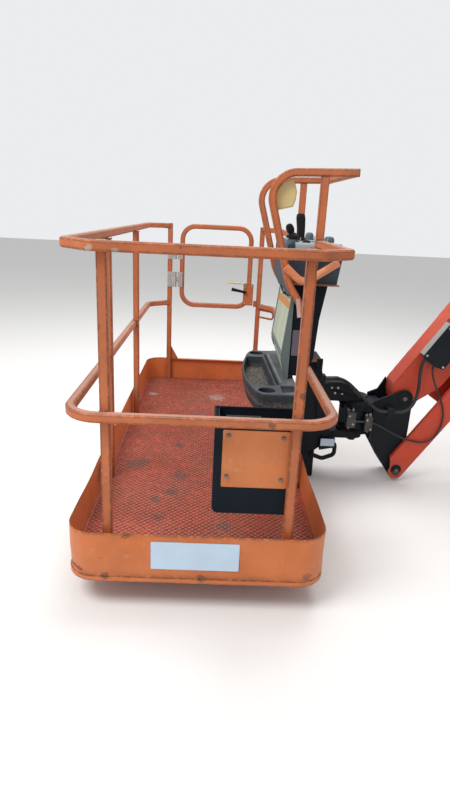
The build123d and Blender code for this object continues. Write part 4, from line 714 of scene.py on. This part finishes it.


# dust and painted highlight on the rim top, and grit in the pocket's bottom
rim_dust_and_highlight = across_levels(497.5, 504)
bottom = across_levels(470, 449) * across_levels(440, 446)
film = tray_shader.noise(9, 6, 0.7).between(0.30, 0.68)
speckle = tray_shader.noise(70, 5, 0.75, offset=3.3).between(0.40, 0.66)
tone = tray_shader.mix(film * 0.35, (0.016, 0.022, 0.028), (0.085, 0.095, 0.10))
# dust and painted highlight: the tray's top level is mixed toward pale grey
tone = tray_shader.mix(rim_dust_and_highlight * (0.35 + film * 0.5), tone, (0.20, 0.215, 0.22))
tone = tray_shader.mix(bottom * speckle * 0.8, tone, (0.24, 0.19, 0.13))
tray_plastic = tray_shader.finish(
    Base_Color=tone,
    Roughness=0.6 + film * 0.25,
    Normal=tray_shader.bump(tray_shader.noise(380, 2) * 0.25, 0.0004),
    Specular_IOR_Level=0.25,
)
tray = make("tray_moulding", [
    (DATUM + top.reshape(-1, 3) / 1000, grid_faces(rows, columns, False)[:, ::-1].tolist()),
    (DATUM + np.concatenate(walls) / 1000, side_faces + [floor]),
    block((365, 790, 498), (TRAY_BACK, 1210, 520)),
], "platform", tray_plastic, angle=38)
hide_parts("tray")

# Storage box: a black moulded bin behind the near posts with a screwed-on cover, a lid strip with
# two black catches at its top edge and a rib round its open top.
UPWARD, TOWARD_NEAR = (0, 0, 1), (0, -1, 0)


def turned(centre, axis, profile, sides=24):
    """A turned piece: profile gives (height, radius) pairs along an axis from a centre."""
    axis = np.array(axis, float) / np.linalg.norm(axis)
    first = np.cross(axis, (0.2, 0.3, 0.93) if abs(axis[2]) < 0.9 else (1.0, 0.1, 0.0))
    first /= np.linalg.norm(first)
    second = np.cross(axis, first)
    turn = np.linspace(0, 2 * pi, sides, endpoint=False)
    rim = np.cos(turn)[:, None] * first + np.sin(turn)[:, None] * second
    rings = [at(*centre) + (axis * h + rim * r) / 1000 for h, r in profile]
    last = (len(profile) - 1) * sides
    caps = [list(range(sides))[::-1], [last + i for i in range(sides)]]
    return np.concatenate(rings), grid_faces(len(profile), sides).tolist() + caps


def bolt(centre, axis, across, washer=True):
    """A hexagon head with a chamfered top, on a washer, standing on a face."""
    r = across / 2
    head = turned(centre, axis, [(0.16 * r, r), (1.1 * r, r), (1.35 * r, 0.82 * r)], 6)
    plate = turned(centre, axis, [(0, 1.35 * r), (0.2 * r, 1.35 * r), (0.24 * r, 1.25 * r)], 20)
    return [head, plate] if washer else [head]


def near_bolts(places, y, across):
    """Bolts at (x, z) places on a face at a level y, their heads toward the platform's near end."""
    return [piece for x, z in places for piece in bolt((x, y, z), TOWARD_NEAR, across)]


COVER_SCREWS = ((91, 502), (274, 499), (90, 353), (275, 346))
cover_bolts = near_bolts(COVER_SCREWS, 61, 12)
make("cover_bolts", cover_bolts, "platform", dull_steel, angle=30)
moulded = [block((x0, 58.6, 540), (x1, 62, 572)) for x0, x1 in ((82, 104), (168, 186))]
RIB_HALF = 3
moulded += [block((44, y - RIB_HALF, 553), (330, y + RIB_HALF, 562)) for y in (66, 182)]
moulded += [block((x - RIB_HALF, 66, 553), (x + RIB_HALF, 182, 562)) for x in (44, 330)]
make("storage_rim", moulded, "platform", moulded_black, angle=30, bevel=0.0015)

# Console top: a joystick on a flat boot and a domed base, a tall lever, a knob at the near edge, two
# domed switches, two rows of small toggles, five round sockets and the grey panel's rolled near lip.
def slab(front, back):
    """A closed piece between two like outlines, given as points in the model's frame."""
    n = len(front)
    faces = [[i, (i + 1) % n, n + (i + 1) % n, n + i] for i in range(n)]
    return np.concatenate([front, back]), faces + [list(range(n))[::-1], list(range(n, 2 * n))]


def prism(points, axis, start, end):
    """A flat outline in the plane square to an axis (0, 1 or 2), carried between two levels."""
    outlines = (np.insert(np.array(points, float), axis, level, axis=1) for level in (start, end))
    return slab(*(DATUM + outline_points / 1000 for outline_points in outlines))


CONSOLE_TOP = 1095
black_rubber = worn_black("black rubber", (0.010, 0.010, 0.011), (0.035, 0.034, 0.033), 0.7, 0.4, 0.15)
levers = []
boot = [(0, 27), (4, 28), (8, 25), (12, 24), (15, 18), (19, 15), (22, 11)]
levers.append(turned((343, 792, 1110), UPWARD, boot))
grip = [(0, 11), (6, 14), (16, 17), (30, 16), (38, 12), (42, 5)]
levers.append(turned((338, 795, 1128), (-0.45, 0, 1), grip, 20))
levers.append(turned((400, 950, CONSOLE_TOP), UPWARD, [(0, 22), (4, 22), (7, 19), (16, 16)]))
# x, height and half width of each level of the tall lever, whose section is a rounded square
LEVER_Y, LEVER_SIDES = 950, 20
LEVER = ((400, 1100, 15), (398, 1125, 17), (395, 1160, 19), (392, 1190, 20), (391, 1204, 18), (391, 1210, 12))
turn = np.linspace(0, 2 * pi, LEVER_SIDES, endpoint=False)
rim = np.stack([np.sign(wave) * np.abs(wave) ** 0.6 for wave in (np.cos(turn), np.sin(turn), 0 * turn)], 1)
rings = [at(x, LEVER_Y, z) + rim * [h, 0.8 * h, 0] / 1000 for x, z, h in LEVER]
lever_top = [(len(LEVER) - 1) * LEVER_SIDES + i for i in range(LEVER_SIDES)]
lever_faces = grid_faces(len(LEVER), LEVER_SIDES).tolist() + [lever_top]
levers.append((np.concatenate(rings), lever_faces))
knob = [(0, 12), (6, 13), (8, 16), (20, 16.5), (25, 13), (28, 6)]
levers.append(turned((399, 768, 1078), UPWARD, knob))
make("console_levers", levers, "platform", black_rubber, angle=45)
caps = [turned((343, 790, 1068), UPWARD, [(0, 27), (22, 27), (34, 24), (41, 17), (44, 8)])]
# height and radius of a dome, as shares of its own
DOME = ((0, 1), (0.5, 1), (0.8, 0.85), (0.95, 0.55), (1, 0.2))
for x, y, tall, r in ((460, 1100, 33, 20), (517, 900, 25, 23)):
    caps.append(turned((x, y, CONSOLE_TOP), UPWARD, [(h * tall, share * r) for h, share in DOME]))
blue_grey = worn_black("blue grey plastic", (0.085, 0.125, 0.155), (0.16, 0.18, 0.19), 0.5, 0.6)
make("console_caps", caps, "platform", blue_grey, angle=45)
apron = [(749, 1095.6), (739, 1091), (731, 1080), (728, 1064), (745, 1064)]
make("console_apron", [prism(apron, 0, 350, 545)], "platform", panel_plastic, angle=30)
left_row = [(372, y) for y in (780, 1000, 1060, 1120, 1180, 1225)]
right_row = [(486, y) for y in (780, 850, 1000, 1060, 1120, 1180, 1225)]
toggles = []
for x, y in left_row + right_row:
    toggles.append(turned((x, y, CONSOLE_TOP), UPWARD, [(0, 7.5), (2.5, 7.5), (3.4, 6)], 6))
    stick = [(0, 2.4), (12, 1.8), (15, 2.6), (16, 1.4)]
    toggles.append(turned((x, y, CONSOLE_TOP + 2), (0.25, 0.1, 1), stick, 10))
make("console_toggles", toggles, "platform", zinc, angle=35)
# x, y, radius
SOCKETS = ((400, 950, 30), (517, 900, 25), (460, 1100, 23), (440, 850, 14), (400, 1160, 14))
sockets = make("console_sockets", [
    turned((x, y, CONSOLE_TOP - 0.2), UPWARD, [(0, r), (1.6, r), (2.4, r - 1.5)]) for x, y, r in SOCKETS
], "platform", moulded_black, angle=35)
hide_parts("controls")

# Cream guard plate: a yellowed moulding inside the near loop, stepped at its edge, with a raised rim
PLATE_MIDDLE = np.array([293, 1280])
plate_edge = np.array([(256, 1216), (252, 1262), (256, 1290), (268, 1312), (283, 1327), (318, 1342),
                       (331, 1310), (337, 1290), (333, 1255), (325, 1233)])
plate_step, rim_line = (PLATE_MIDDLE + share * (plate_edge - PLATE_MIDDLE) for share in (0.94, 0.86))
ridge = [(x, 716.2, z) for x, z in rim_line]
guard_plate = make("guard_plate", [
    prism(plate_edge, 1, 716.5, 719), prism(plate_step, 1, 715.3, 716.6), bead(ridge + ridge[:1], 2.2),
], "platform", cream_plastic, angle=30, bevel=0.0006)
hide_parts("guard_panel")

# Document box: a grey-green frame round a pale leaf with an orange band, leaning on the console. Its
# face leans in toward a knee near the tray and back out to its foot.
def leaning(z):
    """The inner face's x at a height: it leans in toward its knee, then back to its foot."""
    return np.interp(z, (500, 600, 890), (353, 330, 360))


def on_face(points, lift, thick):
    """A flat piece on the box's leaning inner face, from (y, z) points, standing off it."""
    y, z = np.array(points, float).T
    return slab(*(DATUM + np.stack([leaning(z) - off, y, z], 1) / 1000 for off in (lift, lift + thick)))


frame_bars = [
    on_face([(754, 886), (1246, 886), (1246, 868), (754, 868)], 0, 4),
    on_face([(754, 868), (776, 868), (776, 606), (754, 606)], 0, 4),
    on_face([(1224, 868), (1246, 868), (1246, 606), (1224, 606)], 0, 4),
    on_face([(776, 625), (1224, 625), (1224, 606), (776, 606)], 0, 4),
    on_face([(1170, 598), (1246, 598), (1246, 576), (1170, 565)], 0, 3),
    on_face([(756, 598), (776, 598), (776, 510), (756, 505)], 0, 3),
]
make("document_frame", frame_bars, "platform", green_plastic, angle=30, bevel=0.0012)
leaf = worn_black("leaf plastic", (0.44, 0.50, 0.37), (0.30, 0.33, 0.26), 0.45, 0.7, 0.4)
leaves = [
    on_face([(776, 868), (1224, 868), (1224, 625), (776, 625)], 0, 1.2),
    on_face([(800, 594), (1120, 594), (1120, 566), (800, 520)], 0, 1.0),
]
make("document_leaf", leaves, "platform", leaf, angle=30)
band = worn_black("band orange", (0.62, 0.22, 0.03), (0.45, 0.22, 0.08), 0.5, 0.5, 0.4)
band_piece = on_face([(776, 842), (776, 812), (1224, 795), (1224, 829)], 1.2, 0.6)
make("document_band", [band_piece], "platform", band, angle=30)

# Console body: the seams between its mouldings, cooling slots and a grey label on the near side
seams = [block((338, 744.2, 1040), (536, 746, 1043)), block((366, 759.2, 700), (470, 761, 703))]
seams += [block((400 + 13 * i, 759.2, 800), (405 + 13 * i, 761, 850)) for i in range(5)]
make("console_seams", seams, "platform", black_rubber, angle=30)
label_grey = worn_black("label grey", (0.13, 0.11, 0.14), (0.20, 0.18, 0.20), 0.5, 0.6, 0.4)
label = block((372, 758.6, 612), (410, 760, 726))
make("console_label", [label], "platform", label_grey, angle=30)

# Gate hardware: the screws of the hinge leaves, on the gate and on its post, and of the latch plate
HINGE_LEVELS, HINGE_SCREW = (732, 924), 32
LATCH_SCREWS = ((234, 584), (283, 584), (234, 706), (283, 706))
screw_levels = [level + side * HINGE_SCREW for level in HINGE_LEVELS for side in (-1, 1)]
gate_bolts = near_bolts([(-229.5, z) for z in screw_levels], 2400, 9) + near_bolts(LATCH_SCREWS, 2399, 8)
make("gate_bolts", gate_bolts, "gate", zinc, angle=30)
post_bolts = near_bolts([(-299, z) for z in screw_levels], 2400, 9)
make("post_bolts", post_bolts, "platform", zinc, angle=30)


# Console cable: a thin black cable clipped in a loop across the document box and into the console
def cable(points, diameter):
    """A fixed cable along a smooth line."""
    return sweep(nurbs_line(np.array([at(*p) for p in points])), diameter / 2000, 10)


loop = [(345, 1042, 1012), (344, 1038, 985), (340, 1038, 945), (338, 1052, 905), (340, 1072, 880),
        (343, 1040, 864), (343, 960, 860), (344, 860, 864), (346, 775, 870), (356, 752, 884)]
clips = [block((336, 1034, 968), (350, 1044, 978)), block((338, 950, 855), (352, 960, 866))]
make("console_cable", [cable(loop, 7)] + clips, "platform", black_rubber, angle=40)

# Strut label: a faded label on the near guard strut
faded_label = worn_black("faded label", (0.62, 0.40, 0.36), (0.40, 0.20, 0.14), 0.5, 0.8, 0.4)
strut_label = prism([(363, 873), (380, 873), (391, 797), (375, 793)], 1, 683.0, 684.2)
make("strut_label", [strut_label], "platform", faded_label, angle=30)

# Column fittings: a valve cover with an orange bracket at its top, thin wires down its face and along
# the upper arm, the bolts of that arm and a pale plate on the loop handle
valve_cover = [
    block((526, 1100, 418), (586, 1121, 516)),
    block((532, 1094, 430), (580, 1101, 470)),
    turned((556, 1100, 490), TOWARD_NEAR, [(0, 11), (10, 11), (12, 8)]),
]
make("column_cover", valve_cover, "platform", moulded_black, angle=30, bevel=0.0015)
bracket = [block((526, 1097, 500), (557, 1101, 520)), block((553, 1097, 492), (557, 1121, 520))]
make("column_bracket", bracket, "platform", rail_paint, angle=30, bevel=0.0008)
wires = [cable([(566, 1119, 418), (572, 1116, 330), (580, 1116, 240), (588, 1117, 150), (600, 1117, 108)], 6),
         cable([(612, 1117, 28), (618, 1116, 62), (622, 1117, 104)], 6),
         cable([(648, 1141, 349), (682, 1138, 339), (738, 1138, 323), (790, 1139, 312)], 6)]
make("column_wires", wires, "platform", black_rubber, angle=40)
arm_bolts = near_bolts(((653, 356), (686, 357), (673, 328), (710, 326)), 1142, 9)
make("arm_bolts", arm_bolts, "platform", zinc, angle=30)
handle_plate = block((615, 1095.6, 46), (689, 1097, 87))
make("handle_plate", [handle_plate], "platform", plate_white, angle=30)

# Rotator fittings: flange rings round its top and foot, bolts round the top one, and on the valve
# blocks hexagon fittings, bolts, a solenoid and two short hoses
ROTATOR_X, ROTATOR_Y, FLANGE_RADIUS = 800, 1200, 88
flanges = []
for z, deep in ((262, 14), (117, 16)):
    edge = [(0, FLANGE_RADIUS), (deep, FLANGE_RADIUS), (deep + 2, FLANGE_RADIUS - 4)]
    flanges.append(turned((ROTATOR_X, ROTATOR_Y, z), UPWARD, edge, 48))
for k in range(12):
    angle = radians(200 + 13 * k)
    outward = np.array([cos(angle), sin(angle), 0])
    spot = np.array([ROTATOR_X, ROTATOR_Y, 270]) + (FLANGE_RADIUS + 1) * outward
    flanges += bolt(spot, outward, 9, False)
make("rotator_flanges", flanges, "head", black_paint, angle=35)
# x, z and the way up or down of each fitting
FITTINGS = ((748, 242, 1), (772, 242, 1), (846, 216, 1), (866, 216, 1), (757, 158, -1), (856, 140, -1))
nut = [(0, 8), (9, 8), (10, 6), (16, 6)]
fittings = [turned((x, 1116, z), (0, 0, way), nut, 6) for x, z, way in FITTINGS]
fittings += near_bolts(((752, 222), (772, 176), (846, 202), (868, 152)), 1088, 8)
make("valve_fittings", fittings, "head", zinc, angle=35)
upper_hose = [(748, 1116, 254), (752, 1104, 266), (774, 1098, 270), (804, 1098, 262), (836, 1104, 250),
              (846, 1114, 230)]
lower_hose = [(757, 1116, 144), (762, 1104, 128), (800, 1098, 124), (846, 1104, 120), (856, 1114, 126)]
coils = [block((703, 1094, 186), (738, 1122, 262)),
         turned((724, 1108, 262), UPWARD, [(0, 12), (11, 12), (13, 9)]),
         cable(upper_hose, 9), cable(lower_hose, 9)]
make("valve_coils", coils, "head", moulded_black, angle=35, bevel=0.001)

# Head collars: a boss on each side of the upper pin, a dark collar by the lower one, and a bolt in
# each collar of the near side
LOWER_COLLAR_Z = -72
boss = [(0, 33), (5, 33), (7, 30)]
bosses = [
    turned((PIN_X, 1119, UPPER_PIN_Z), TOWARD_NEAR, boss, 32),
    turned((PIN_X, 1281, UPPER_PIN_Z), (0, 1, 0), boss, 32),
    turned((PIN_X, 1090, LOWER_COLLAR_Z), TOWARD_NEAR, [(0, 27), (4, 27), (5, 25)], 32),
]
make("head_bosses", bosses, "head", black_paint, angle=35)
pin_bolts = near_bolts([(PIN_X, UPPER_PIN_Z)], 1110, 17) + near_bolts([(PIN_X, LOWER_COLLAR_Z)], 1081, 13)
make("head_bolts", pin_bolts, "head", dull_steel, angle=30)


# Jib trim: the cover's screws and bright top strip, and weld beads along the beam's edges
def plank(points, near, far):
    """A flat piece along the jib from (s, h) points, between two levels across it."""
    return slab(*(np.array([at(*beside(s, h, y)) for s, h in points]) for y in (near, far)))


trim = [plank([(232, 94.2), (428, 94.2), (428, 92.8), (232, 92.8)], 1091, 1134),
        plank([(231, 94), (428, 94), (428, 88), (231, 88)], 1088.8, 1090.2)]
for s, h in ((240, 72), (241, -34), (410, 72), (410, -34)):
    trim += bolt(beside(s, h, 1090), TOWARD_NEAR, 9)
make("cover_trim", trim, "jib_arm", zinc, angle=30)
# height over the jib's line, start and end along it
BEAM_SEAMS = ((91.5, 40, 220), (91.5, 440, 1540), (-115.5, 420, 1500))
seams = [bead([beside(s, h, y) for s in ends], 2.0) for y in (1135, 1265) for h, *ends in BEAM_SEAMS]
make("beam_welds", seams, "jib_arm", jib_paint, angle=60)
